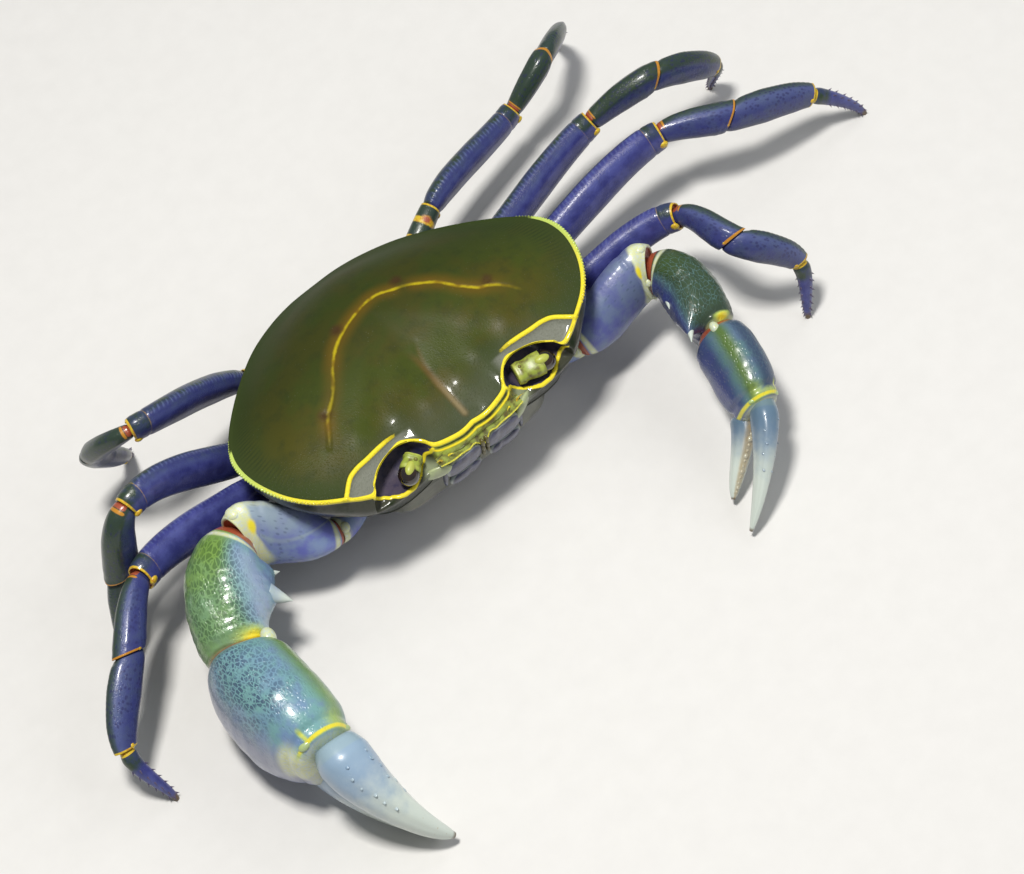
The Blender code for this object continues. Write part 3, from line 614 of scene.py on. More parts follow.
def dome_rows(rim, count):
    """Rows from near the top of the dome out to the rim."""
    centre = np.array([0.0, DOME_CENTRE_Y, DOME_TOP])
    calm = calmed(rim, 5 * len(rim) // 72)
    offset = calm - centre
    forward = (1 - offset[:, 1] / np.hypot(offset[:, 0], offset[:, 1])) / 2
    power = BACK_POWER + (FRONT_POWER - BACK_POWER) * forward**3
    rows = []
    for step in range(1, count + 1):
        share = math.sin(step / count * math.pi / 2) ** 0.8
        edge = calm + (rim - calm) * share**14
        row = centre + (edge - centre) * share
        row[:, 2] = centre[2] + (edge[:, 2] - centre[2]) * share**power
        rows.append(row)
    return np.array(rows)


def flank_rows(rim, count):
    """Rows from the rim down to the seam, hollowed at the eye sockets."""
    orbit = orbit_share(rim)[:, None]
    wall = closed_ring(WALL, len(rim))
    seam = closed_ring(SEAM, len(rim))
    pulls = (
        (0.10, rim[:, 1] + 0.7, rim[:, 2] - 0.6),
        (0.36, ORBIT_BACK_Y, ORBIT_BACK_Z),
        (0.60, ORBIT_FLOOR_Y, ORBIT_FLOOR_Z),
        (0.74, LOWER_ORBIT_Y, LOWER_ORBIT_Z),
    )
    forward = np.clip(1.6 - rim[:, 1:2] / DOME_CENTRE_Y, 0.0, 1.0)
    knots = [rim]
    for share, socket_y, socket_z in pulls:
        bulge = math.sin(share * math.pi) * FLANK_BULGE * (0.3 + 0.7 * forward)
        row = rim + (wall - rim) * share
        row[:, :2] += unit_rows(row[:, :2] - (0.0, DOME_CENTRE_Y)) * bulge
        socket = row.copy()
        socket[:, 1] = socket_y
        socket[:, 2] = socket_z
        if share == pulls[-1][0]:
            inward = soft_step(np.abs(row[:, 0]), 19.5, 14.5)
            socket[:, 1] = np.minimum(row[:, 1] + (LOWER_ORBIT_Y - row[:, 1]) * inward, row[:, 1] - 0.3)
            socket[:, 2] = row[:, 2] + (LOWER_ORBIT_Z - row[:, 2]) * np.maximum(inward, 0.75)
            knots.append(calmed(row * (1 - orbit) + socket * orbit, len(rim) // 80))
            continue
        knots.append(row * (1 - orbit) + socket * orbit)
    knots = np.array(knots + [wall, seam])
    return smooth_line(knots, np.linspace(0, 1, count + 1)[1:])


def grid_normals(points):
    """Outward normals of a grid whose rows run outward and whose sides run anticlockwise from above."""
    along = np.gradient(points, axis=0)
    around = (np.roll(points, -1, axis=1) - np.roll(points, 1, axis=1)) / 2
    normals = np.cross(along, around)
    size = np.linalg.norm(normals, axis=-1, keepdims=True)
    return normals / np.maximum(size, 1e-9)


# Shader graphs

class Value:
    """A socket of a material's graph that takes part in arithmetic."""

    def __init__(self, graph, socket):
        self.graph = graph
        self.socket = socket

    def math(self, operation, *others):
        return self.graph.node("ShaderNodeMath", {"operation": operation}, dict(enumerate((self, *others))))

    def __add__(self, other):
        return self.math("ADD", other)

    __radd__ = __add__

    def __mul__(self, other):
        return self.math("MULTIPLY", other)

    __rmul__ = __mul__

    def __sub__(self, other):
        return self.math("SUBTRACT", other)

    def __rsub__(self, other):
        return self.graph.node("ShaderNodeMath", {"operation": "SUBTRACT"}, {0: other, 1: self})

    def most(self, other):
        return self.math("MAXIMUM", other)

    def sine(self):
        return self.math("SINE")

    def step(self, low, high):
        """0 at low and 1 at high, eased between; low may be above high."""
        settings = {"interpolation_type": "SMOOTHSTEP", "clamp": True}
        ends = {1: low, 2: high, 3: 0.0, 4: 1.0} if low < high else {1: high, 2: low, 3: 1.0, 4: 0.0}
        return self.graph.node("ShaderNodeMapRange", settings, {0: self} | ends)


class Finish:
    """A procedural material: its graph, with the nodes that this crab's finishes share."""

    def __init__(self, name):
        self.material = bpy.data.materials.new(name)
        self.material.use_nodes = True
        self.tree = self.material.node_tree
        self.tree.nodes.clear()
        self.mm = None
        self.colour = None

    def node(self, kind, settings=None, inputs=None, output=0):
        """A node of a type, with its settings set first and then its sockets' values or links."""
        made = self.tree.nodes.new(kind)
        for name, value in (settings or {}).items():
            setattr(made, name, value)
        for key, value in (inputs or {}).items():
            socket = made.inputs[key]
            if isinstance(value, Value):
                self.tree.links.new(value.socket, socket)
            else:
                socket.default_value = value
        return Value(self, made.outputs[output]) if len(made.outputs) else None

    def trait(self, name):
        return self.node("ShaderNodeAttribute", {"attribute_name": name}, output="Fac")

    def place(self):
        """The object's own place, in millimetres."""
        if self.mm is None:
            where = self.node("ShaderNodeTexCoord", output="Object")
            self.mm = self.node("ShaderNodeVectorMath", {"operation": "SCALE"}, {0: where, "Scale": 1 / MM})
        return self.mm

    def chart(self, stretch):
        """Place on a limb's skin, in millimetres along it and round it."""
        along, across, top = self.trait("run"), self.trait("round"), self.trait("top")
        return self.node("ShaderNodeCombineXYZ", inputs={0: along * stretch, 1: across, 2: top * 0.6})

    def noise(self, scale, detail=3.0, roughness=0.55, where=None):
        inputs = {
            "Vector": where or self.place(), "Scale": scale, "Detail": detail, "Roughness": roughness,
        }
        return self.node("ShaderNodeTexNoise", {"noise_dimensions": "3D"}, inputs)

    def cells(self, scale, where=None, feature="F1"):
        inputs = {"Vector": where or self.place(), "Scale": scale}
        return self.node("ShaderNodeTexVoronoi", {"feature": feature}, inputs, "Distance")

    def mix(self, share, first, second):
        """One colour going over to another as share goes from 0 to 1."""
        first = first if isinstance(first, Value) else (*first, 1.0)
        second = second if isinstance(second, Value) else (*second, 1.0)
        settings = {"data_type": "RGBA", "clamp_factor": True}
        return self.node("ShaderNodeMix", settings, {0: share, 6: first, 7: second}, 2)

    def paint(self, share, tone):
        """Lay a tone over the colour so far, in full where share is 1."""
        self.colour = self.mix(share, self.colour, tone)

    def shell(self, roughness, bumps, coat=0.5, coat_roughness=0.08, specular=0.5):
        """Wet shell: the colour under a glossy film. bumps are (height, strength, distance in mm)."""
        normal = {}
        for height, strength, distance in bumps:
            inputs = {"Height": height, "Strength": strength, "Distance": distance * MM}
            normal = {"Normal": self.node("ShaderNodeBump", inputs=inputs | normal)}
        inputs = {
            "Base Color": self.colour, "Roughness": roughness, "Coat Weight": coat,
            "Coat Roughness": coat_roughness, "Specular IOR Level": specular,
        }
        surface = self.node("ShaderNodeBsdfPrincipled", inputs=inputs | normal)
        self.node("ShaderNodeOutputMaterial", inputs={"Surface": surface})
        return self.material


# Colours, as linear red, green and blue
OLIVE = (0.046, 0.060, 0.007)
BROWN_OLIVE = (0.060, 0.056, 0.007)
DARK_OLIVE = (0.018, 0.028, 0.009)
EDGE_GREEN = (0.030, 0.046, 0.012)
BAND_GREY = (0.120, 0.125, 0.095)
BAND_PALE = (0.230, 0.235, 0.200)
RIM_YELLOW = (0.820, 0.680, 0.035)
RIM_GREEN = (0.470, 0.580, 0.120)
LINE_BROWN = (0.150, 0.078, 0.006)
LINE_ORANGE = (0.300, 0.165, 0.006)
LINE_YELLOW = (0.440, 0.350, 0.010)
FURROW_BROWN = (0.120, 0.070, 0.020)
FURROW_PALE = (0.240, 0.180, 0.090)
PIT_BROWN = (0.045, 0.022, 0.010)
SOCKET_SLATE = (0.075, 0.062, 0.090)
FLANK_GREY = (0.050, 0.052, 0.036)
FLANK_CREAM = (0.420, 0.480, 0.290)
FRONT_GREEN = (0.330, 0.400, 0.070)
VIOLET = (0.031, 0.035, 0.168)
LIGHT_VIOLET = (0.056, 0.064, 0.245)
DEEP_VIOLET = (0.020, 0.020, 0.085)
LEG_OLIVE = (0.026, 0.046, 0.024)
LEG_NAVY = (0.030, 0.044, 0.095)
LEG_PALE = (0.170, 0.220, 0.420)
JOINT_YELLOW = (0.640, 0.460, 0.025)
JOINT_ORANGE = (0.480, 0.210, 0.020)
RUST = (0.330, 0.075, 0.035)
ARM_BLUE = (0.190, 0.260, 0.440)
ARM_VIOLET = (0.120, 0.140, 0.460)
ARM_PALE = (0.330, 0.410, 0.420)
CREAM = (0.620, 0.650, 0.350)
CLAW_GREEN = (0.165, 0.290, 0.060)
CLAW_DARK_GREEN = (0.034, 0.058, 0.018)
CLAW_TEAL = (0.160, 0.330, 0.330)
CLAW_BLUE = (0.150, 0.235, 0.400)
CLAW_LILAC = (0.230, 0.245, 0.360)
CLAW_PALE = (0.360, 0.440, 0.580)
CLAW_NET = (0.040, 0.070, 0.125)
FINGER_BLUE = (0.190, 0.300, 0.430)
FINGER_CREAM = (0.560, 0.620, 0.560)
TAN = (0.380, 0.280, 0.130)
HORN_BROWN = (0.100, 0.060, 0.025)
SLATE = (0.050, 0.055, 0.125)
DEEP_SLATE = (0.024, 0.024, 0.062)
PLATE_RIM = (0.350, 0.390, 0.360)
STALK_OLIVE = (0.270, 0.330, 0.045)
STALK_BROWN = (0.110, 0.090, 0.022)
STALK_YELLOW = (0.480, 0.520, 0.090)
EYE_BROWN = (0.030, 0.016, 0.010)
EYE_BLACK = (0.012, 0.009, 0.009)
UNDER_PALE = (0.460, 0.450, 0.370)
UNDER_VIOLET = (0.230, 0.220, 0.330)
UNDER_BROWN = (0.160, 0.115, 0.070)
CHEEK_OLIVE = (0.075, 0.080, 0.050)
NET_GREEN = (0.050, 0.110, 0.020)
FLOOR_GREY = (0.64, 0.63, 0.61)
FLOOR_PALE = (0.69, 0.68, 0.66)


def carapace_finish():
    f = Finish("carapace_shell")
    broad = f.noise(0.11, 4.0)
    patch = f.noise(0.42, 5.0, 0.62)
    fine = f.noise(3.2, 3.0)
    edge = f.trait("edge")
    flank = f.trait("flank")
    f.colour = f.mix(broad.step(0.40, 0.62), OLIVE, BROWN_OLIVE)
    f.paint(patch.step(0.44, 0.76) * 0.42, DARK_OLIVE)
    # Painted shade: the shell is darkened towards its back, where less light reaches it
    f.paint(f.trait("far") * 0.55, DARK_OLIVE)
    f.paint(edge.step(0.40, 1.0) * 0.85, EDGE_GREEN)
    f.paint(f.trait("front_grey") * (0.15 + patch * 0.5), BAND_GREY)
    f.paint(f.trait("band") * (0.45 + fine * 0.5), BAND_PALE)
    stripes = (f.trait("rim_run") * 8.2 + patch * 5.0).sine().step(-0.1, 0.7)
    f.paint(stripes * f.trait("striae") * 0.6, DARK_OLIVE)
    crescent = f.trait("crescent")
    glow = f.trait("crescent_on")
    halo = crescent.step(2.5, 0.1) * glow
    f.paint(halo * (0.22 + patch * 0.60), LINE_BROWN)
    glint = f.noise(0.30, 2.0).step(0.36, 0.56)
    core = (crescent + (patch - 0.5) * 0.7).step(0.46, 0.0) * glow
    f.paint(core * (0.30 + glint * 0.60), f.mix(glint, LINE_ORANGE, LINE_YELLOW))
    furrow = (f.trait("furrow") + (patch - 0.5) * 0.4).step(1.0, 0.0) * f.trait("furrow_on")
    f.paint(furrow * 0.8, f.mix(f.trait("furrow_pale"), FURROW_BROWN, FURROW_PALE))
    pits = f.trait("pits").step(1.7, 0.2)
    f.paint(pits * patch.step(0.30, 0.55) * 0.8, PIT_BROWN)
    # Painted glints: small pale specks over the shell, away from the flanks
    speck = f.cells(1.9).step(0.12, 0.06) * f.noise(0.35, 2.0).step(0.52, 0.66)
    f.paint(speck * 0.35 * (1.0 - flank), BAND_PALE)
    f.paint(flank, f.mix(patch.step(0.45, 0.7), FLANK_GREY, DARK_OLIVE))
    f.paint(f.trait("cream") * (0.5 + patch * 0.7), FLANK_CREAM)
    f.paint(f.trait("socket"), f.mix(patch.step(0.4, 0.7), SOCKET_SLATE, DEEP_SLATE))
    f.paint(f.trait("front_face"), f.mix(patch.step(0.35, 0.65), FRONT_GREEN, STALK_BROWN))
    yellow = f.trait("yellow")
    green_end = f.trait("rim_green")
    tone = f.mix((yellow + fine * 0.35).step(0.55, 1.10), LINE_YELLOW, RIM_YELLOW)
    tone = f.mix(green_end, tone, RIM_GREEN)
    f.paint((yellow + (fine - 0.5) * 0.30).step(0.28, 0.50), tone)
    # Painted shade: a dark strip in the crease under the frontal edge
    f.paint(f.trait("dark_gap"), DARK_OLIVE)
    punctae = f.cells(2.6).step(0.03, 0.16)
    grit = f.trait("grit")
    granules = f.cells(3.0).step(0.40, 0.05) * grit
    # Painted glints: pale flecks on the tops of the granules
    f.paint(granules.step(0.45, 0.95) * 0.22, BAND_PALE)
    rough = 0.24 + fine * 0.14 + grit * 0.06 + f.trait("far") * 0.30
    bumps = ((punctae, 0.30, 0.08), (granules, 0.45, 0.14), (fine, 0.20, 0.10))
    coat = (1.0 - f.trait("far")) * 0.5
    return f.shell(rough, bumps, coat=coat, coat_roughness=0.08, specular=0.08)


def leg_finish():
    f = Finish("leg_shell")
    patch = f.noise(0.50, 4.0)
    fine = f.noise(3.0, 3.0)
    chart = f.chart(0.8)
    f.colour = f.mix(patch.step(0.35, 0.70), VIOLET, LIGHT_VIOLET)
    f.paint(f.trait("shade"), DEEP_VIOLET)
    dots = f.cells(1.7, chart).step(0.46, 0.20) * f.trait("net")
    olive = (f.trait("olive") + (patch - 0.5) * 0.35).step(0.15, 0.85)
    dark = f.mix(patch.step(0.40, 0.62).most(f.trait("green")), LEG_NAVY, LEG_OLIVE)
    f.paint(olive, dark)
    f.paint(f.trait("pale"), LEG_PALE)
    f.paint(dots * 0.62, DEEP_VIOLET)
    # Painted highlights: pale dashes along the top ridge of each merus
    ridge_glints = (f.trait("run") * 8.0 + patch * 7.0 + f.trait("round") * 2.0).sine().step(0.1, 0.9)
    f.paint(ridge_glints * f.trait("ridge") * (0.10 + patch * 0.30), LEG_PALE)
    yellow = f.trait("yellow") + (fine - 0.5) * 0.3
    f.paint(yellow.step(0.25, 0.60), f.mix(fine.step(0.42, 0.70), JOINT_YELLOW, JOINT_ORANGE))
    f.paint((f.trait("orange") + (fine - 0.5) * 0.3).step(0.25, 0.65), JOINT_ORANGE)
    f.paint(f.trait("rust").step(0.2, 0.7), RUST)
    f.paint(f.trait("horn"), HORN_BROWN)
    grain = f.cells(3.4, chart).step(0.05, 0.45)
    rough = 0.26 + fine * 0.16
    bumps = ((grain, 0.35, 0.10), (fine, 0.18, 0.10))
    return f.shell(rough, bumps, coat=0.30, coat_roughness=0.12, specular=0.42)


def arm_finish():
    f = Finish("arm_shell")
    patch = f.noise(0.35, 4.0)
    fine = f.noise(2.6, 3.0)
    chart = f.chart(0.6)
    f.colour = f.mix(patch.step(0.35, 0.65), ARM_BLUE, ARM_VIOLET)
    f.paint(f.trait("grey") * 0.8, ARM_PALE)
    f.paint(f.trait("dim"), DEEP_VIOLET)
    dots = f.cells(1.3, chart).step(0.34, 0.15) * f.trait("net")
    f.paint(dots * 0.45, CLAW_NET)
    line = f.trait("line").step(0.35, 0.05)
    f.paint(line * 0.45, ARM_PALE)
    f.paint(f.trait("cream").step(0.1, 0.8), f.mix(fine.step(0.4, 0.7), CREAM, FINGER_CREAM))
    f.paint(f.trait("yellow").step(0.15, 0.8), RIM_YELLOW)
    f.paint(f.trait("rust").step(0.2, 0.7), RUST)
    grain = f.cells(2.8, chart).step(0.05, 0.4)
    bumps = ((grain, 0.20, 0.10), (fine, 0.15, 0.12))
    return f.shell(0.32 + fine * 0.16, bumps, coat=0.3, coat_roughness=0.14)


def claw_finish():
    f = Finish("claw_shell")
    patch = f.noise(0.28, 4.0)
    fine = f.noise(2.4, 3.0)
    chart = f.chart(0.72)
    warp = f.noise(0.9, 2.0, where=chart)
    shove = f.node("ShaderNodeCombineXYZ", inputs={0: warp, 1: patch, 2: warp})
    inputs = {0: shove, 1: (0.8, 0.8, 0.8), 2: chart}
    moved = f.node("ShaderNodeVectorMath", {"operation": "MULTIPLY_ADD"}, inputs)
    net, green, dim = f.trait("net"), f.trait("green"), f.trait("dark")
    f.colour = f.mix(patch.step(0.35, 0.65), CLAW_BLUE, CLAW_TEAL)
    f.paint(net * 0.6, CLAW_TEAL)
    f.paint(f.trait("lilac") * (0.6 + patch * 0.6), CLAW_LILAC)
    leaf = f.mix(dim, CLAW_GREEN, CLAW_DARK_GREEN)
    f.paint(green * (0.7 + patch * 0.6 + dim * 0.3), leaf)
    f.paint(dim * (1.0 - green), LEG_NAVY)
    f.paint(f.trait("pale"), CLAW_PALE)
    f.paint(f.trait("violet"), VIOLET)
    web = f.cells(1.45, moved, "DISTANCE_TO_EDGE")
    spread = f.noise(0.55, 2.0, where=chart).step(0.28, 0.48)
    blotch = web.step(0.04, 0.16) * spread * net
    dark = f.mix(green, CLAW_NET, NET_GREEN)
    f.paint(blotch * (0.86 - green * 0.20) * (1.0 - dim * 0.6), dark)
    thread = web.step(0.05, 0.01) * net * dim
    f.paint(thread * 0.40, CLAW_TEAL)
    f.paint(f.trait("shade"), UNDER_BROWN)
    f.paint(f.trait("cream").step(0.1, 0.9), f.mix(fine.step(0.4, 0.66), CREAM, FINGER_CREAM))
    yellow = f.trait("yellow") + (fine - 0.5) * 0.25
    f.paint(yellow.step(0.20, 0.85), f.mix(yellow.step(0.55, 1.0), RIM_GREEN, RIM_YELLOW))
    f.paint(f.trait("rust").step(0.2, 0.7), RUST)
    tip = f.trait("tip").step(0.15, 0.75)
    f.paint(tip, FINGER_CREAM)
    grain = f.cells(1.9, chart).step(0.05, 0.45)
    rough = 0.23 + fine * 0.16
    bumps = ((blotch, 0.15, 0.12), (grain, 0.40, 0.15), (fine, 0.20, 0.10))
    return f.shell(rough, bumps, coat=0.35, coat_roughness=0.10, specular=0.45)


def finger_finish():
    f = Finish("finger_shell")
    patch = f.noise(0.4, 4.0)
    fine = f.noise(2.4, 3.0)
    along = f.trait("tip")
    f.colour = f.mix((along + (patch - 0.5) * 0.5).step(0.10, 0.62), FINGER_BLUE, FINGER_CREAM)
    f.paint(f.trait("green") * 0.5, CLAW_TEAL)
    f.paint(f.trait("light"), CLAW_PALE)
    f.paint(f.trait("dim"), LEG_NAVY)
    f.paint(f.trait("tan") * (0.4 + fine * 0.8), TAN)
    speck = f.cells(0.95).step(0.16, 0.08) * along.step(0.55, 0.9)
    f.paint(speck * 0.6, TAN)
    f.paint(f.trait("horn") * 0.85, HORN_BROWN)
    f.paint(f.trait("yellow").step(0.25, 0.75), RIM_GREEN)
    dimple = f.cells(1.2).step(0.02, 0.2)
    return f.shell(0.26 + fine * 0.14, ((dimple, 0.18, 0.12), (fine, 0.12, 0.1)), coat_roughness=0.10)


def mouth_finish():
    f = Finish("mouth_shell")
    patch = f.noise(0.9, 3.0)
    fine = f.noise(5.0, 3.0)
    f.colour = f.mix(patch.step(0.35, 0.65), SLATE, DEEP_SLATE)
    f.paint(f.trait("olive"), STALK_BROWN)
    f.paint(f.trait("pale").step(0.2, 0.8), PLATE_RIM)
    f.paint(f.trait("yellow").step(0.2, 0.8), FRONT_GREEN)
    grain = f.cells(4.0).step(0.05, 0.4)
    return f.shell(0.32 + fine * 0.15, ((grain, 0.3, 0.08),), coat_roughness=0.15)


def front_finish():
    f = Finish("front_shell")
    patch = f.noise(0.9, 4.0)
    fine = f.noise(4.0, 3.0)
    f.colour = f.mix(patch.step(0.35, 0.7), FRONT_GREEN, STALK_BROWN)
    f.paint(f.trait("cream"), FLANK_CREAM)
    tone = f.mix(f.trait("green"), f.mix(fine.step(0.40, 0.62), LINE_YELLOW, RIM_YELLOW), RIM_GREEN)
    f.paint((f.trait("yellow") + (fine - 0.5) * 0.2).step(0.25, 0.6), tone)
    # Painted shade in the feeler sockets and under the frontal edge
    f.paint(f.trait("dark_gap"), DARK_OLIVE)
    f.paint(f.trait("orange"), JOINT_ORANGE)
    grain = f.cells(3.0).step(0.05, 0.4)
    return f.shell(0.30 + fine * 0.15, ((grain, 0.25, 0.10),), coat_roughness=0.12)


def stalk_finish():
    f = Finish("eyestalk_shell")
    patch = f.noise(1.1, 3.0)
    fine = f.noise(5.0, 3.0)
    f.colour = f.mix(patch.step(0.4, 0.7), STALK_OLIVE, STALK_BROWN)
    f.paint(f.trait("yellow"), STALK_YELLOW)
    f.paint(f.trait("orange"), FURROW_BROWN)
    return f.shell(0.36 + fine * 0.15, ((fine, 0.2, 0.08),), coat=0.12, coat_roughness=0.2)


def cornea_finish():
    f = Finish("cornea")
    facets = f.cells(6.0)
    patch = f.noise(0.8, 2.0)
    f.colour = f.mix(patch.step(0.3, 0.7), EYE_BROWN, EYE_BLACK)
    return f.shell(0.08 + facets * 0.06, ((facets, 0.05, 0.04),), coat=1.0, coat_roughness=0.03)


def under_finish():
    f = Finish("underside_shell")
    patch = f.noise(0.25, 4.0)
    fine = f.noise(2.5, 3.0)
    f.colour = f.mix(patch.step(0.35, 0.65), UNDER_PALE, UNDER_VIOLET)
    f.paint(f.trait("groove"), UNDER_BROWN)
    f.paint(f.trait("cheek") * (0.7 + patch * 0.4), CHEEK_OLIVE)
    # Painted shade: the top of the body wall, under the shell
    f.paint(f.trait("dark_gap"), DARK_OLIVE)
    grain = f.cells(2.4).step(0.05, 0.4)
    return f.shell(0.36 + fine * 0.18, ((grain, 0.2, 0.1),), coat=0.35, coat_roughness=0.16)


def floor_finish():
    f = Finish("studio_floor")
    fine = f.noise(0.25, 3.0)
    colour = f.mix(fine, FLOOR_GREY, FLOOR_PALE)
    surface = f.node("ShaderNodeBsdfPrincipled", inputs={"Base Color": colour, "Roughness": 0.75})
    f.node("ShaderNodeOutputMaterial", inputs={"Surface": surface})
    return f.material


# Stage

def make_camera():
    """The photograph's camera. Returns its ways right, up and back from the crab."""
    turn, lift, roll = (math.radians(value) for value in (CAMERA_AZIMUTH, CAMERA_ELEVATION, CAMERA_ROLL))
    back = np.array([math.sin(turn) * math.cos(lift), -math.cos(turn) * math.cos(lift), math.sin(lift)])
    level = np.array([math.cos(turn), math.sin(turn), 0.0])
    raised = np.cross(back, level)
    right = math.cos(roll) * level + math.sin(roll) * raised
    up = -math.sin(roll) * level + math.cos(roll) * raised
    spot = (np.array(CAMERA_TARGET) + back * CAMERA_DISTANCE - SHIFT) * MM
    data = bpy.data.cameras.new("camera")
    data.lens = CAMERA_LENS
    data.sensor_width = CAMERA_SENSOR
    data.sensor_fit = "HORIZONTAL"
    data.clip_start, data.clip_end = CAMERA_CLIP
    camera = bpy.data.objects.new("camera", data)
    rows = [[*row, place] for row, place in zip(np.array([right, up, back]).T, spot)]
    camera.matrix_world = Matrix(rows + [[0, 0, 0, 1]])
    bpy.context.scene.collection.objects.link(camera)
    bpy.context.scene.camera = camera
    return right, up, back


def add_light(name, direction, distance, size, power, colour):
    """A square soft light that looks at the middle of the crab."""
    data = bpy.data.lights.new(name, "AREA")
    data.shape = "SQUARE"
    data.size = size
    data.energy = power
    data.color = colour
    lamp = bpy.data.objects.new(name, data)
    way = unit(direction)
    lamp.location = way * distance
    lamp.rotation_mode = "QUATERNION"
    lamp.rotation_quaternion = Vector(way).to_track_quat("Z", "Y")
    lamp.visible_glossy = name == "key"
    bpy.context.scene.collection.objects.link(lamp)


def make_stage(right, up, back):
    """Floor, sky and lights of a plain studio."""
    size = FLOOR_HALF
    mesh = bpy.data.meshes.new("floor")
    corners = [(-size, -size, 0), (size, -size, 0), (size, size, 0), (-size, size, 0)]
    mesh.from_pydata(corners, [], [(0, 1, 2, 3)])
    mesh.materials.append(floor_finish())
    floor = bpy.data.objects.new("floor", mesh)
    bpy.context.scene.collection.objects.link(floor)
    world = bpy.data.worlds.new("studio")
    world.use_nodes = True
    sky = world.node_tree.nodes["Background"]
    sky.inputs["Color"].default_value = SKY_COLOUR
    sky.inputs["Strength"].default_value = SKY_STRENGTH
    bpy.context.scene.world = world
    for name, (aside, raised, near), distance, width, power, colour in LIGHTS:
        add_light(name, right * aside + up * raised + back * near, distance, width, power, colour)
    view = bpy.context.scene.view_settings
    view.view_transform = "Standard"
    view.look = "None"


FINISHES = {}


def build_finishes():
    FINISHES.update(
        carapace=carapace_finish(), leg=leg_finish(), arm=arm_finish(), claw=claw_finish(),
        finger=finger_finish(), mouth=mouth_finish(), front=front_finish(), stalk=stalk_finish(),
        cornea=cornea_finish(), under=under_finish(),
    )


# Carapace

def both_sides(line):
    """A line on the left half, and its mirror image."""
    line = np.asarray(line, float)
    mirror = line.copy()
    mirror[:, 0] *= -1
    return line, mirror


def nearest_of(points, lines):
    """The smallest distance to any of several lines, and the share along that one."""
    best, where = near_line(points, lines[0])
    for line in lines[1:]:
        away, share = near_line(points, line)
        where = np.where(away < best, share, where)
        best = np.minimum(away, best)
    return best, where


def socket_edges(rim, flank):
    """The lower edge of each eye socket, as lines of points on the shell, and which points lie above it."""
    orbit = orbit_share(rim)
    count = len(flank)
    level = ORBIT_DEPTH * orbit**0.45 * count
    rows = np.arange(count)[:, None] * np.ones(len(rim))
    inside = (rows < level[None]) & (orbit[None] > 0)
    lines = []
    for sign in (1, -1):
        own = np.flatnonzero((orbit > 0) & (rim[:, 0] * sign > 0))
        picked = np.clip(level[own].astype(int), 0, count - 1)
        lines.append(flank[picked, own])
    return lines, inside


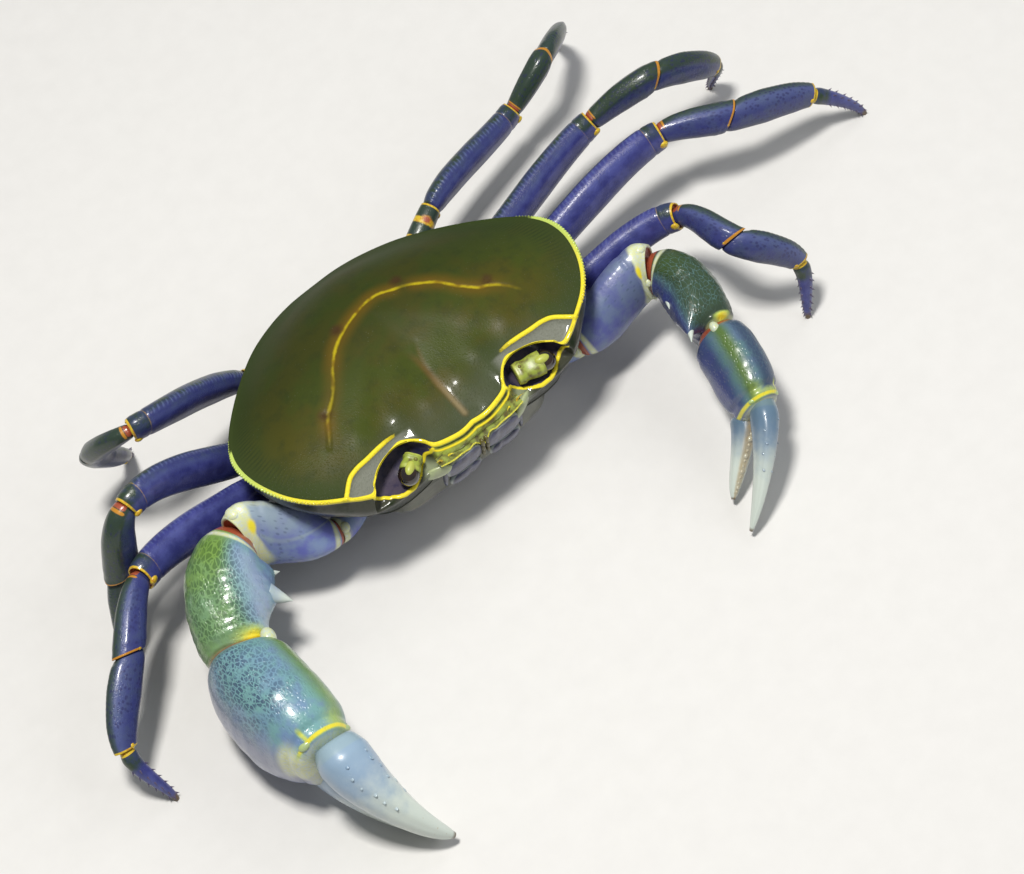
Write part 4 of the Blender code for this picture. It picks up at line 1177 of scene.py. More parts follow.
def build_carapace():
    """The shell in one piece, from the top of its dome over the rim and down the flanks to the seam."""
    rim = rim_ring(SHELL_SIDES)
    dome = dome_rows(rim, SHELL_ROWS)
    flank = flank_rows(rim, FLANK_ROWS)
    points = np.concatenate([dome, flank])
    rows = len(points)
    on_dome = np.arange(rows)[:, None] < SHELL_ROWS
    off_dome = ~on_dome
    steps = np.linalg.norm(np.diff(np.vstack([rim, rim[:1]]), axis=0), axis=1)
    run = np.concatenate([[0.0], np.cumsum(steps)[:-1]])
    total = steps.sum()
    rim_run = np.minimum(run, total - run)[None] * np.ones((rows, 1))
    x, y, z = points[..., 0], points[..., 1], points[..., 2]
    across = np.abs(x)
    drop = np.clip((np.arange(rows)[:, None] - SHELL_ROWS) / FLANK_ROWS, 0, 1)
    rim_away = np.linalg.norm(points - rim[None], axis=-1)
    crest, crest_run = nearest_of(points, both_sides(CREST))
    crescent, crescent_run = near_line(points, CRESCENT)
    furrow, furrow_run = near_line(points, FURROW)
    fork, _ = near_line(points, FURROW_FORK)
    lines, above = socket_edges(rim, flank)
    lower = np.full_like(x, FAR_OFF)
    lower[SHELL_ROWS:], _ = nearest_of(flank, [line[::4] for line in lines])
    in_socket = np.zeros_like(x)
    in_socket[SHELL_ROWS:] = above
    pits = np.min([np.hypot(x - a, y - b) for a, b in PITS], axis=0)
    crest_y = np.interp(across, *zip(*CREST[::-1]))
    band = on_dome * soft_step(crest_y - y, 0.0, 0.5)
    band = band * soft_step(across, 7.6, 10.0) * soft_step(across, 23.5, 22.5)
    # Relief
    rise = np.zeros_like(x)
    crest_on = on_dome * soft_step(crest_run, 1.0, 0.72)
    rise += 0.30 * bell(crest, 0.38) * crest_on
    rise -= 0.24 * band * soft_step(crest, 0.0, 1.2)
    rolled = soft_step(rim_run, 78.0, 52.0)
    rise += 0.20 * bell(rim_away, 0.42) * rolled
    rise += 0.26 * bell(lower, 0.38) * off_dome
    rise -= 0.12 * bell(crescent, 0.45) * on_dome * soft_step(crescent_run, 1.0, 0.9)
    furrow_on = 1 - 0.85 * soft_step(furrow_run, 0.55, 1.0)
    rise -= 0.07 * bell(furrow, 0.70) * on_dome * furrow_on * soft_step(y, 0.2, 2.5)
    rise -= 0.04 * bell(fork, 0.60) * on_dome
    rise -= 0.10 * bell(pits, 0.5) * on_dome
    swell = np.sin(x * 0.42 + 1.1) * np.sin(y * 0.38 + 0.4) + 0.6 * np.sin(x * 0.9 - y * 0.7)
    rise += 0.035 * swell * on_dome * soft_step(rim_away, 1.0, 5.0)
    for pad_x, pad_y, pad_rise in FRONT_PADS:
        rise += pad_rise * np.exp(-((across - pad_x) ** 2 + (y - pad_y) ** 2) / PAD_SPREAD) * on_dome
    points = points + grid_normals(points) * rise[..., None]
    # Colour traits
    ends = soft_step(crescent_run, 0.0, 0.10) * soft_step(crescent_run, 1.0, 0.84)
    thin = (1 - 0.7 * hump(crescent_run, 0.575, 0.05)) * (1 - 0.45 * hump(crescent_run, 0.2, 0.12))
    width = np.interp(rim_run, *zip(*RIM_LINE))
    rim_yellow = soft_step(rim_away / width, 1.25, 0.75) * soft_step(rim_run, 53.0, 45.0)
    crest_yellow = soft_step(crest, 0.46, 0.18) * on_dome * (0.30 + 0.70 * soft_step(crest_run, 1.0, 0.62))
    crest_yellow = crest_yellow * soft_step(crest_run, 1.0, 0.90)
    lower_yellow = soft_step(lower, 0.40, 0.18) * off_dome
    front = soft_step(across, 8.2, 7.2) * (y < 6) * off_dome
    front_line = front * hump(rim_away, 1.10, 0.36)
    furrow_seen = np.maximum(furrow_on, 0.6 * soft_step(fork, 0.8, 0.2)) * soft_step(y, 14.0, 11.0)
    grit = 0.25 + 0.75 * np.maximum(band, soft_step(rim_away, 11.0, 2.0))
    traits = {
        # painted shade towards the back of the shell, which is also given a duller finish there
        "far": soft_step(y, 9.0, 24.0),
        "edge": 1 - np.clip(rim_away / 15.0, 0, 1) * on_dome,
        "flank": soft_step(drop, 0.02, 0.06),
        "front_grey": on_dome * soft_step(y, 8.0, 0.5) * soft_step(across, 24.0, 14.0) * 0.6,
        "band": band,
        "rim_run": rim_run,
        "rim_green": soft_step(rim_run, 32.0, 44.0),
        "striae": on_dome * hump(rim_away, 3.0, 2.8) * hump(rim_run, 50.0, 22.0),
        "crescent": crescent,
        "crescent_on": on_dome * ends * thin,
        "furrow": np.minimum(furrow, fork + 0.25),
        "furrow_on": on_dome * furrow_seen,
        "furrow_pale": soft_step(y, 9.0, 3.0) * soft_step(furrow, 0.8, 0.1),
        "pits": pits + 9.0 * off_dome,
        "socket": in_socket,
        "cream": hump(across, 8.3, 3.2) * hump(z, 17.8, 2.6) * (y < 6) * off_dome * (1 - in_socket),
        "front_face": front * (1 - in_socket),
        # painted shade in the crease just below the frontal edge
        "dark_gap": front * hump(rim_away, 0.62, 0.26) * soft_step(across, 7.4, 6.6),
        "yellow": np.maximum.reduce([rim_yellow, crest_yellow, lower_yellow, front_line]),
        "grit": on_dome * soft_step(y, 20.0, 3.0) * grit,
    }
    skin = Skin()
    skin.grid(points, traits, flip=True, start=True, end=True)
    skin.make("carapace_shell", "carapace", "carapace")
    build_rim_beads(rim, run, total)


def build_rim_beads(rim, run, total):
    """The row of small yellow beads along the front half of each side of the rim."""
    skin = Skin()
    for sign in (1, -1):
        for spot in np.arange(BEADS_FROM, BEADS_TO, BEAD_STEP):
            where = spot if sign > 0 else total - spot
            centre = np.array([np.interp(where, run, rim[:, axis]) for axis in range(3)])
            size = BEAD_SIZE * (1 - 0.35 * soft_step(spot, 44.0, BEADS_TO)) * (0.9 + 0.2 * rng.random())
            out = unit(centre - (0.0, DOME_CENTRE_Y, centre[2]))
            along = np.cross(out, (0, 0, 1.0))
            green = float(soft_step(spot, 30.0, 40.0))
            axes = (out * size, along * size * 0.92, (0, 0, size * 0.9))
            skin.blob(centre + out * 0.10, axes, {"yellow": 1.0, "green": green}, 12, 7)
    skin.make("carapace_rim_beads", "front", "carapace")


# Underside

def body_ring(height, share_x, share_y, sides):
    """The seam's outline drawn in by shares across and along, at a height."""
    ring = closed_ring(SEAM, sides)
    ring[:, 0] *= share_x
    ring[:, 1] = BODY_MIDDLE_Y + (ring[:, 1] - BODY_MIDDLE_Y) * share_y
    ring[:, 2] = height
    return ring


def build_sternum():
    """The body's wall under the shell and its plates below, with the grooves between them."""
    top = closed_ring(SEAM, STERNUM_SIDES) - (0.0, 0.0, GAP)
    knots = np.array([top] + [body_ring(*row, STERNUM_SIDES) for row in BODY_RINGS])
    wall = smooth_line(knots, np.linspace(0, 1, 60))
    last = wall[-1]
    centre = np.array([0.0, BODY_MIDDLE_Y, BODY_RINGS[-1][0]])
    belly = np.array([last + (centre - last) * share for share in np.linspace(0, 1, 70)[1:-1]])
    points = np.concatenate([wall, belly])
    x, y, z = (points[..., axis] for axis in range(3))
    across = np.abs(x)
    seams = np.min([np.abs(y - (seam_y + 0.10 * across)) for seam_y in STERNUM_SEAMS], axis=0)
    groove = np.maximum(soft_step(seams, 0.45, 0.05), soft_step(across, 0.4, 0.05)) * soft_step(z, 13.0, 11.0)
    traits = {
        "groove": groove,
        # painted shade where the body wall goes in under the shell
        "dark_gap": 0.7 * soft_step(z, 14.0, 16.5),
        "cheek": soft_step(z, 6.5, 9.5) * soft_step(y, 12.0, 4.0),
    }
    points = points + grid_normals(points) * (-0.25 * groove)[..., None]
    skin = Skin()
    skin.grid(points, traits, flip=True, start=True, end=True)
    skin.make("sternum_plates", "under", "sternum")


def build_abdomen():
    """The folded tail: flat plates that overlap like roof tiles."""
    table = np.array(ABDOMEN)
    top = BODY_RINGS[-1][0] - GAP
    edges = np.linspace(table[0, 0], table[-1, 0], ABDOMEN_PLATES + 1)
    share = np.linspace(0, 1, 14)[:, None]
    angle = full_turn(48)
    depth = ABDOMEN_THICKNESS * (0.55 + 0.45 * np.sin(math.pi * (0.12 + 0.76 * share)))
    tall = np.abs(np.sin(angle)) ** 0.7 * np.where(np.sin(angle) < 0, -depth, 0.0)
    skin = Skin()
    for back, fore in zip(edges, edges[1:]):
        y = back + (fore - back) * share
        wide = np.interp(-y, -table[:, 0], table[:, 1]) * squared(np.cos(angle), 0.55)
        points = np.stack([wide, (y - 0.05) * np.ones_like(wide), top + tall], -1)
        skin.grid(points, {"groove": soft_step(share, 0.88, 1.0)}, start=True, end=True)
    skin.make("abdomen_plates", "under", "abdomen")


# Face

def build_eye(side):
    """A short boxy stalk that carries a round dark eye with a pale lobe on its top."""
    foot, cornea = (np.array(point) for point in EYES[side])
    way = unit(cornea - foot)
    span = np.linalg.norm(cornea - foot)
    up = square_to((0, -0.35, 1), way)
    across = np.cross(up, way)
    share = np.linspace(0, 1, 44)
    radius = EYESTALK_RADIUS * (1.02 - 0.12 * np.sin(share * math.pi) + 0.05 * np.cos(share * 9.0))
    radius = radius * (0.80 + 0.20 * soft_step(share, 0.0, 0.22))
    angle = full_turn(56)
    wide = across * EYESTALK_WIDE[side] * squared(np.cos(angle), BOXY)[:, None]
    middle = foot + np.outer(share * (span - 0.55), way)
    points = middle[:, None] + (wide + up * squared(np.sin(angle), BOXY)[:, None]) * radius[:, None, None]
    pale = np.maximum(0.5 * hump(share, 0.05, 0.12), 0.35 * hump(share, 0.85, 0.15))
    skin = Skin()
    skin.grid(points, {"yellow": pale[:, None]}, start=True, end=True)
    size = CORNEA_RADIUS
    lobe = cornea + up * size * 0.78 - way * 0.55
    skin.blob(lobe, (way * 1.25, across * 0.72, up * 0.62), {"yellow": 0.75}, 32, 17)
    fold = foot + up * 0.9 + way * 0.9 + across * 0.5
    skin.blob(fold, (way * 0.4, across * 0.4, up * 0.75), {"orange": 0.6}, 16, 9)
    skin.make(f"eyestalk_{side}", "stalk", f"eye_{side}")
    ball = Skin()
    ball.blob(cornea, (way * size * 1.02, across * size, up * size * 0.96), {}, 64, 40)
    ball.make(f"cornea_{side}", "cornea", f"eye_{side}")


def build_mouth_plate(side):
    """One of the two doors over the mouth: a broad upper plate, a lower one, and palps on the inner edge."""
    sign = SIGN[side]
    top, low = (np.array(point) * (sign, 1.0, 1.0) for point in MOUTH_PLATE)
    way = unit(low - top)
    span = np.linalg.norm(low - top)
    front = square_to((0, -1, 0.15), way)
    across = unit(np.cross(way, front))
    if across[0] * sign < 0:
        across = -across
    flip = np.dot(np.cross(across, front), way) < 0
    half_width, half_depth = MOUTH_PLATE_HALF
    share = np.linspace(0.02, 0.98, 50)[:, None]
    end = np.abs(2 * share - 1)
    c, s = np.cos(full_turn(80)), np.sin(full_turn(80))
    edge = np.maximum(np.abs(c) ** 5, end**8)
    skin = Skin()
    for first, last, width in ((0.0, 0.62, 1.0), (0.64, 1.0, 0.88)):
        half = half_width * width * (1 - end**3.0) ** (1 / 2.4)
        flat = half * squared(c, BOXY)
        tall = half_depth * (0.35 + 0.65 * (1 - end**4)) * squared(s, 2 / 2.4)
        tall = tall - 0.20 * (s > 0) * bell(flat / half + 0.25, 0.16) * soft_step(end, 0.95, 0.6)
        middle = top + (first + (last - first) * share) * span * way
        points = middle[:, None] + across * flat[..., None] + front * tall[..., None]
        skin.grid(points, {"pale": edge}, start=True, end=True, flip=flip)
    inner = top - across * half_width * 0.97
    for index, size in enumerate((0.62, 0.58, 0.50)):
        centre = inner + way * (0.5 + 1.5 * index) + front * (0.30 + 0.06 * index)
        skin.blob(centre, (across * size * 0.62, front * size, way * 0.95), {"olive": 1.0}, 20, 11)
    outer = top + across * (half_width + 0.12) - front * 0.25 + way * span * 0.52
    skin.blob(outer, (across * 0.40, front * 0.5, way * span * 0.42), {"pale": 0.30}, 20, 15)
    skin.make(f"mouth_plate_{side}", "mouth", f"maxilliped_{side}")


def front_depth(across):
    """How far forward the wall below the frontal edge stands."""
    return np.interp(np.abs(across), (0.0, 3.7, 7.2, 9.0), (-1.42, -1.62, -1.75, -1.9))


def build_epistome():
    """The plate between the frontal edge and the mouth, with its middle lobe and the small feelers."""
    x = np.linspace(-EPISTOME_HALF, EPISTOME_HALF, 260)
    across = np.abs(x)
    low = np.interp(across, *zip(*EPISTOME_LOW))
    high = np.interp(across, *zip(*EPISTOME_HIGH))
    share = np.linspace(0, 1, 44)[:, None]
    z = high + (low - high) * share
    socket = bell(across - 4.0, 1.3) * bell(share - 0.42, 0.20)
    proud = 0.18 + 1.25 * np.sin(share * math.pi / 2) ** 1.6 + 0.20 * bell(share - 0.95, 0.05)
    proud = proud + 0.14 * bell(share, 0.06) + 0.35 * bell(x, 1.0) * soft_step(share, 0.45, 0.95)
    y = front_depth(x) - proud + 0.9 * socket
    y[-1] += 1.1
    points = np.stack([x * np.ones_like(y), y, z], -1)
    traits = {
        "yellow": np.maximum(soft_step(share, 0.84, 0.93), soft_step(share, 0.14, 0.05) * 0.8),
        "green": 0.35 * soft_step(share, 0.5, 0.9),
        # painted shade in the feeler sockets and in a line under the frontal edge
        "dark_gap": np.maximum(0.85 * socket * soft_step(share, 0.1, 0.2), 0.8 * hump(share, 0.22, 0.07)),
        "cream": 0.6 * hump(x, 0.0, 1.6) * soft_step(share, 0.5, 0.9),
    }
    skin = Skin()
    skin.grid(points, traits, wrap=False)
    for sign in (1, -1):
        base = np.array([sign * 3.6, front_depth(3.6) - 0.65, 19.9])
        skin.blob(base, ((1.0, 0, 0), (0, 0.5, 0.1), (0, -0.1, 0.42)), {"cream": 0.15}, 24, 13)
        root = np.array([sign * 7.2, -2.35, 19.3])
        skin.blob(root, ((0.85, 0, 0.2), (0, 0.55, 0), (-0.2, 0, 0.8)), {"cream": 0.7}, 24, 13)
        cheek = ((2.2, sign * 0.9, 0.3), (0, 0.6, 0), (sign * 0.2, 0, 1.3))
        skin.blob(root + (sign * 1.3, 0.25, -1.7), cheek, {"cream": 0.7}, 32, 17)
        tip = root + (sign * 1.5, -0.9, 2.4)
        skin.thorn(root + (0, -0.2, 0.2), tip, 0.30, {"yellow": 0.9, "orange": 0.35}, bow=0.3)
        tip = root + (-sign * 2.0, -0.8, 1.2)
        skin.thorn(root + (-sign * 1.0, -0.1, 0.5), tip, 0.26, {"yellow": 0.7}, bow=0.2)
    skin.make("epistome", "front", "carapace")


# Walking legs

def wall_way(hip):
    """The level way out of the body wall at a hip, and the point of the wall there."""
    high, low = BODY_RINGS[0], BODY_RINGS[1]
    part = (hip[2] - low[0]) / (high[0] - low[0])
    shares = [b + (a - b) * part for a, b in zip(high[1:], low[1:])]
    flat = body_ring(hip[2], *shares, 288)
    nearest = int(np.argmin(np.linalg.norm(flat[:, :2] - hip[:2], axis=1)))
    along = flat[(nearest + 3) % len(flat)] - flat[nearest - 3]
    way = np.array([-along[1], along[0], 0.0])
    if way[0] * hip[0] < 0:
        way = -way
    return unit(way), flat[nearest]


# Relief of the legs' pieces: how far the skin stands out, by run along it and turn round it

def merus_relief(run, turn, limb):
    ridge = bell(turn, 16.0)
    beads = ripple(run, 0.62)
    collar = limb.reach - run
    line = bell(collar - 2.5, 0.28)
    flare = soft_step(collar, 1.6, 0.5)
    return 0.10 * ridge * beads * soft_step(collar, 1.5, 3.5) + 0.10 * ridge - 0.10 * line + 0.10 * flare


def carpus_relief(run, turn, limb):
    keel = bell(turn, 14.0) + 0.6 * bell(np.abs(turn) - 62, 10.0)
    flare = soft_step(limb.reach - run, 1.2, 0.3)
    return 0.14 * keel * soft_step(run, 0.5, 2.5) + 0.10 * flare


def propodus_relief(run, turn, limb):
    keel = bell(turn, 14.0) + 0.5 * bell(np.abs(turn) - 90, 16.0)
    beads = ripple(run, 0.8)
    return 0.10 * keel * soft_step(run, 0.3, 1.5) + 0.05 * beads * bell(turn, 10.0)


def dactyl_relief(run, turn, limb):
    grooves = 0.5 - 0.5 * np.cos(np.radians(turn) * 4)
    return -0.07 * grooves * soft_step(limb.reach - run, 0.5, 3.0) * soft_step(run, 0.5, 2.0)


def leg_traits(part, limb, side, number):
    """Where a walking leg's piece is olive, yellow, rusty or netted."""
    turn, run, left, _ = limb.grids()
    facing = turn * SIGN[side]
    top = np.abs(turn)
    rear = number >= 4
    rim = soft_step(left, 0.36, 0.14)
    under = 0.6 * soft_step(top, 105.0, 160.0)
    edge = soft_step(facing, 104.0, 52.0) if rear else soft_step(facing, 62.0, 20.0)
    if part == "base":
        patches = soft_step(np.sin(run * 1.9 + 1.0), 0.45, 0.95)
        return {
            "yellow": np.maximum(rim, patches * soft_step(top, 120.0, 60.0)),
            "rust": hump(left, 2.3, 0.8) * hump(facing, 20.0, 36.0),
            "orange": hump(left, 2.3, 1.3) * hump(facing, 20.0, 60.0) * 0.8,
            "green": 0.9,
            "olive": 0.8,
        }
    if part == "merus":
        collar = 0.9 * soft_step(left, 3.4, 1.8) * soft_step(facing, 90.0, 40.0)
        back = 0.9 * (soft_step(facing, 28.0, -18.0) if rear else soft_step(facing, 6.0, -34.0))
        # Painted shade: the rear legs' front faces are darkened
        rear_shade = 0.45 * rear * soft_step(facing, 90.0, 20.0)
        return {
            "yellow": np.maximum(rim, hump(left, 2.5, 0.26) * 0.42 * soft_step(top, 150.0, 90.0)),
            "olive": np.maximum.reduce([collar, back, rear_shade]),
            "ridge": soft_step(top, 17.0, 7.0) * soft_step(left, 1.6, 3.2),
            "net": 0.30 * soft_step(top, 80.0, 30.0),
            "pale": 0.10 * hump(facing, 40.0, 22.0) * soft_step(left, 2.0, 4.0),
            "shade": under,
            "rust": 0.0,
        }
    if part == "carpus":
        line = soft_step(left, 0.42, 0.20) * soft_step(top, 130.0, 90.0)
        return {
            "rust": soft_step(run, 0.55, 0.25) * soft_step(top, 60.0, 35.0),
            "orange": np.maximum(hump(run, 0.66, 0.30) * soft_step(top, 70.0, 40.0), line),
            "olive": np.maximum(edge * 0.9, 0.50 if rear else 0.40),
            "pale": 0.0 if rear else 0.22 * hump(facing, 45.0, 45.0) * soft_step(run, 0.8, 3.0),
            "green": 0.9 * edge,
            "net": 0.8 * soft_step(run, 1.0, 3.0),
            "shade": under,
        }
    if part == "propodus":
        return {
            "yellow": rim,
            "olive": np.maximum(edge * 0.9, 0.50 if rear else 0.44),
            "green": 0.8 * edge,
            "net": soft_step(run, 0.6, 2.0) * soft_step(left, 0.8, 2.0),
            "pale": 0.0 if rear else 0.25 * hump(facing, 50.0, 50.0),
            "shade": under,
            "rust": 0.0,
        }
    return {
        "yellow": soft_step(run, 0.55, 0.30),
        "olive": np.maximum(0.95 * soft_step(run, 4.5, 1.5), 0.75 * soft_step(facing, 30.0, -20.0)),
        "pale": 0.15 * soft_step(run, 2.0, 6.0) * soft_step(top, 120.0, 40.0),
        "horn": soft_step(left, 1.6, 0.5),
    }


# Each piece of a leg: name, form, rows, relief and, at both ends, how far it leans upward and aside
LEG_PIECES = (
    ("base", BASE_FORM, 40, None, ((0.0, 0.0), (0.0, 0.0))),
    ("merus", MERUS_FORM, 130, merus_relief, ((0.0, 0.0), (-0.10, 0.08))),
    ("carpus", CARPUS_FORM, 70, carpus_relief, ((-0.10, 0.08), (0.55, 0.10))),
    ("propodus", PROPODUS_FORM, 80, propodus_relief, ((0.55, 0.10), (0.10, 0.0))),
    ("dactyl", DACTYL_FORM, 90, dactyl_relief, ((0.10, 0.0), (0.0, 0.0))),
)


def build_leg(side, number, joints):
    """A walking leg of five pieces, from its base on the body to the tip on the floor."""
    out, foot = wall_way(outward((*HIPS[number], HIP_HEIGHT), side))
    knee = outward(joints[0], side)
    if number == 5:
        root = outward(FIFTH_LEG_ROOT[side], side)
    else:
        root = foot + unit((knee - foot) * (1.0, 1.0, BASE_RISE)) * BASE_LENGTH
    chain = [foot + out * GAP, root] + [outward(joint, side) for joint in joints]
    ways = joint_ways(chain, out, unit(chain[-1] - chain[-2]) + (0.0, 0.0, -DACTYL_DROP))
    plane = np.cross(knee - foot, chain[-1] - knee)
    size = LEG_SIZE[number]
    grown = size * CARPUS_SIZE.get((side, number), 1.0)
    scales = {
        "carpus": (grown, grown), "propodus": (size, size * PROPODUS_SIZE[number]), "dactyl": (1.0, 1.0),
    }
    for index, (part, form, rows, relief, slants) in enumerate(LEG_PIECES):
        ups = []
        for way in (ways[index], ways[index + 1]):
            up = unit(np.cross(way, plane))
            if index < 2:
                up = up * math.copysign(1.0, up[2]) + (0.0, 0.0, 1.0)
            ups.append(up)
        limb = Limb(
            chain[index], ways[index], chain[index + 1], ways[index + 1], ups, form,
            scales.get(part, (size, size)), rows, LEG_SIDES, relief,
            [(rising, aside * SIGN[side]) for rising, aside in slants],
        )
        skin = Skin()
        traits = leg_traits(part, limb, side, number)
        if part == "dactyl":
            limb.surface[-1, :, 2] = 0.0
            lay_limb(skin, limb, traits, cup=())
            add_claw_spines(skin, limb)
        else:
            lay_limb(skin, limb, traits)
            add_knobs(skin, limb, KNOB_RADIUS[part] * size, side)
        node = f"leg_{side}_{number}_{part}"
        skin.make(f"{node}_shell", "leg", node)


def add_knobs(skin, limb, radius, side):
    """The hinge knobs at the two sides of a piece's far end, the front one larger."""
    for turn, size in ((108.0, radius), (-96.0, 0.65 * radius)):
        spot = (limb.place_at(limb.reach - size * 0.7), turn * SIGN[side], 0.92)
        skin.lump(limb, spot, (size * 0.60, size * 0.95, size), {"yellow": 1.0}, 20, 11)


def add_claw_spines(skin, limb):
    """Rows of small spines down a walking leg's last piece."""
    for turn in (0.0, 62.0, -62.0, 150.0, -150.0):
        for share in np.linspace(0.26, 0.86, 6):
            place = share + (0.05 if abs(turn) > 10 else 0.0)
            point, way, along = limb.at(place, turn, 0.85)
            tip = point + (way + along) * 0.55 * (1.15 - 0.4 * share)
            tip[2] = max(tip[2], 0.15)
            skin.thorn(point, tip, 0.20, {"horn": 0.5}, 8, 5)


# Claw arms

# Relief of the claw arms' pieces, in the same way

def arm_relief(run, turn, limb):
    ridge = bell(turn, 12.0) + 0.8 * bell(np.abs(turn) - 172, 12.0)
    collar = limb.reach - run
    rise = (0.20 + 0.03 * ripple(run, 0.9)) * ridge * soft_step(run, 1.0, 4.0)
    return rise - 0.20 * bell(collar - 2.8, 0.5) + 0.15 * soft_step(collar, 2.2, 1.0)


def wrist_relief(run, turn, limb):
    scaly = np.sin(run * 2.9 + np.radians(turn) * 5.0) * np.sin(run * 1.7 - np.radians(turn) * 9.0)
    share = run / limb.reach
    collar = limb.reach - run
    rise = 0.05 * scaly * soft_step(run, 1.5, 4.0) + 0.18 * hump(collar, 0.7, 0.7)
    rise = rise - 0.25 * bell(turn - 8, 9.0) * hump(share, 0.55, 0.3)
    if limb.half.max() > LARGE_CLAW_HALF:
        return rise - 1.5 * hump(turn, -108.0, 72.0) * hump(share, 0.6, 0.55)
    thinned = 1.0 * soft_step(run, 1.0, 4.0) + 1.9 * soft_step(collar, 7.0, 0.5)
    return rise - thinned * hump(turn, 120.0, 85.0)


def palm_relief(run, turn, limb):
    lumps = np.sin(run * 1.3 + np.radians(turn) * 3.0) * np.sin(run * 0.8 - np.radians(turn) * 5.0)
    collar = limb.reach - run
    share = run / limb.reach
    lower = soft_step(np.abs(turn), 60.0, 125.0) * soft_step(share, 0.55, 1.0)
    if limb.half.max() > LARGE_CLAW_HALF:
        cut = 1.7 * lower
    else:
        cut = 0.6 * lower + 0.9 * hump(turn, 120.0, 80.0) * hump(share, 0.5, 0.5)
    return 0.05 * lumps - 0.28 * bell(collar - 1.5, 0.45) + 0.22 * soft_step(collar, 1.1, 0.3) - cut


def finger_relief(run, turn, limb):
    grooves = bell(np.abs(turn) - 50, 14.0)
    return -0.10 * grooves * soft_step(run, 1.0, 4.0) * soft_step(limb.reach - run, 1.0, 6.0)


def arm_traits(part, limb, side):
    """Where a claw arm's base or merus is grey, netted, cream, yellow or rusty."""
    turn, run, left, place = limb.grids()
    if part == "base":
        cream = 0.9 * soft_step(left, 1.0, 0.4)
        return {"cream": cream, "yellow": hump(left, 0.9, 0.5) * 0.3, "rust": 0.0, "line": NO_LINE}
    big = side == "right"
    inner = turn * SIGN[side]
    margin = 2.2 + (6.0 if big else 3.6) * hump(inner, 120.0, 60.0)
    collar = 0.9 * soft_step(left, margin, margin * 0.5)
    crest = (0.5 if big else 0.2) * hump(turn, 0.0, 24.0) * soft_step(place, 0.3, 0.9)
    swirl = np.abs(turn + 20 + 60 * np.sin(place * 2.6)) * 0.05
    grey = (0.75 if big else 0.35) * soft_step(place, 0.15, 0.65)
    return {
        "dim": 0.0 if big else 0.40,
        "rust": soft_step(run, 0.4, 0.2),
        "cream": np.maximum.reduce([collar, hump(run, 0.8, 0.7) * 0.8, crest]),
        "grey": grey * soft_step(np.abs(turn), 110.0, 30.0),
        "net": soft_step(place, 0.2, 0.5) * 0.9,
        "yellow": hump(left, 1.5, 1.1) * hump(inner, 58.0, 26.0),
        "line": np.where(place < 0.8, swirl, NO_LINE),
    }


def claw_traits(part, limb, side):
    """Where a claw's carpus or palm is green, netted, pale, cream, yellow or rusty."""
    turn, run, left, place = limb.grids()
    big = side == "right"
    inner = turn * SIGN[side]
    if part == "carpus":
        edge = 16.0 if big else 66.0
        corner = hump(left, 0.5, 4.8 if big else 1.3)
        corner = corner * hump(inner, 28.0 if big else 4.0, 60.0 if big else 46.0)
        collar = (0.7 if big else 0.5) * soft_step(left, 0.9, 0.2)
        ends = soft_step(run, 1.0, 3.0) * soft_step(left, 1.2, 3.6)
        traits = {
            "rust": soft_step(run, 0.9, 0.4),
            "cream": np.maximum(0.9 * hump(run, 1.2, 0.6), collar),
            "yellow": np.maximum(corner, 0.45 * soft_step(left, 1.0, 0.2) * soft_step(inner, 90.0, 60.0)),
            "green": soft_step(inner, edge + 26, edge - 14) * (0.80 + 0.20 * soft_step(place, 0.5, 0.2)),
            "net": soft_step(inner, edge + 44, edge) * ends,
            "pale": 0.60 * hump(inner, edge + 40, 44.0) * soft_step(run, 1.0, 4.0),
        }
        if not big:
            fading = edge - 24 * place
            traits["dark"] = 1.0
            traits["net"] = np.maximum(traits["net"], 0.7 * soft_step(inner, edge + 20, edge + 40))
            traits["pale"] = 0.45 * hump(inner, 84.0, 16.0) * soft_step(place, 0.45, 0.8)
            traits["violet"] = 0.85 * soft_step(inner, fading + 14, fading + 34)
        return traits
    rim = soft_step(left, 0.60, 0.25) * soft_step(-inner, 80.0, 40.0)
    tab = hump(inner, -24.0, 9.0) * soft_step(left, 3.2, 1.5)
    corner = soft_step(left, 5.0, 0.5) * hump(inner, 30.0, 50.0) * 0.55
    traits = {
        "rust": soft_step(run, 0.5, 0.2),
        "green": hump(inner, 44.0, 34.0) * 0.9,
        "net": hump(inner, -32.0, 74.0) * soft_step(place, 0.0, 0.08) * soft_step(place, 0.86, 0.58),
        "yellow": np.maximum.reduce([rim * 0.9, tab * 0.8, corner]),
    }
    if big:
        traits["lilac"] = soft_step(-inner, 50.0, 92.0)
        traits["shade"] = 0.65 * soft_step(inner, 80.0, 104.0)
        traits["cream"] = soft_step(left, 4.6, 1.6) * hump(inner, -78.0, 56.0)
    else:
        traits["lilac"] = 0.5 * soft_step(-inner, 60.0, 100.0)
        traits["dark"] = np.maximum(0.90 * soft_step(-inner, -44.0, 0.0), 0.55)
        traits["violet"] = 0.75 * soft_step(inner, 66.0, 90.0)
        traits["cream"] = soft_step(left, 2.6, 0.8) * hump(inner, -78.0, 56.0)
        glow = 0.6 * soft_step(left, 2.4, 0.4) * hump(inner, 0.0, 75.0)
        traits["yellow"] = np.maximum(traits["yellow"], glow)
    return traits


def draw_out(limb, root, tip, reach, share):
    """Pull the skin near a spine's root towards its tip, so the spine grows out of a broad cone."""
    away = np.linalg.norm(limb.surface - root, axis=-1)
    weight = np.clip(1 - away / (1.9 * reach), 0, 1) ** 1.5 * share
    limb.surface += weight[..., None] * (tip - root)


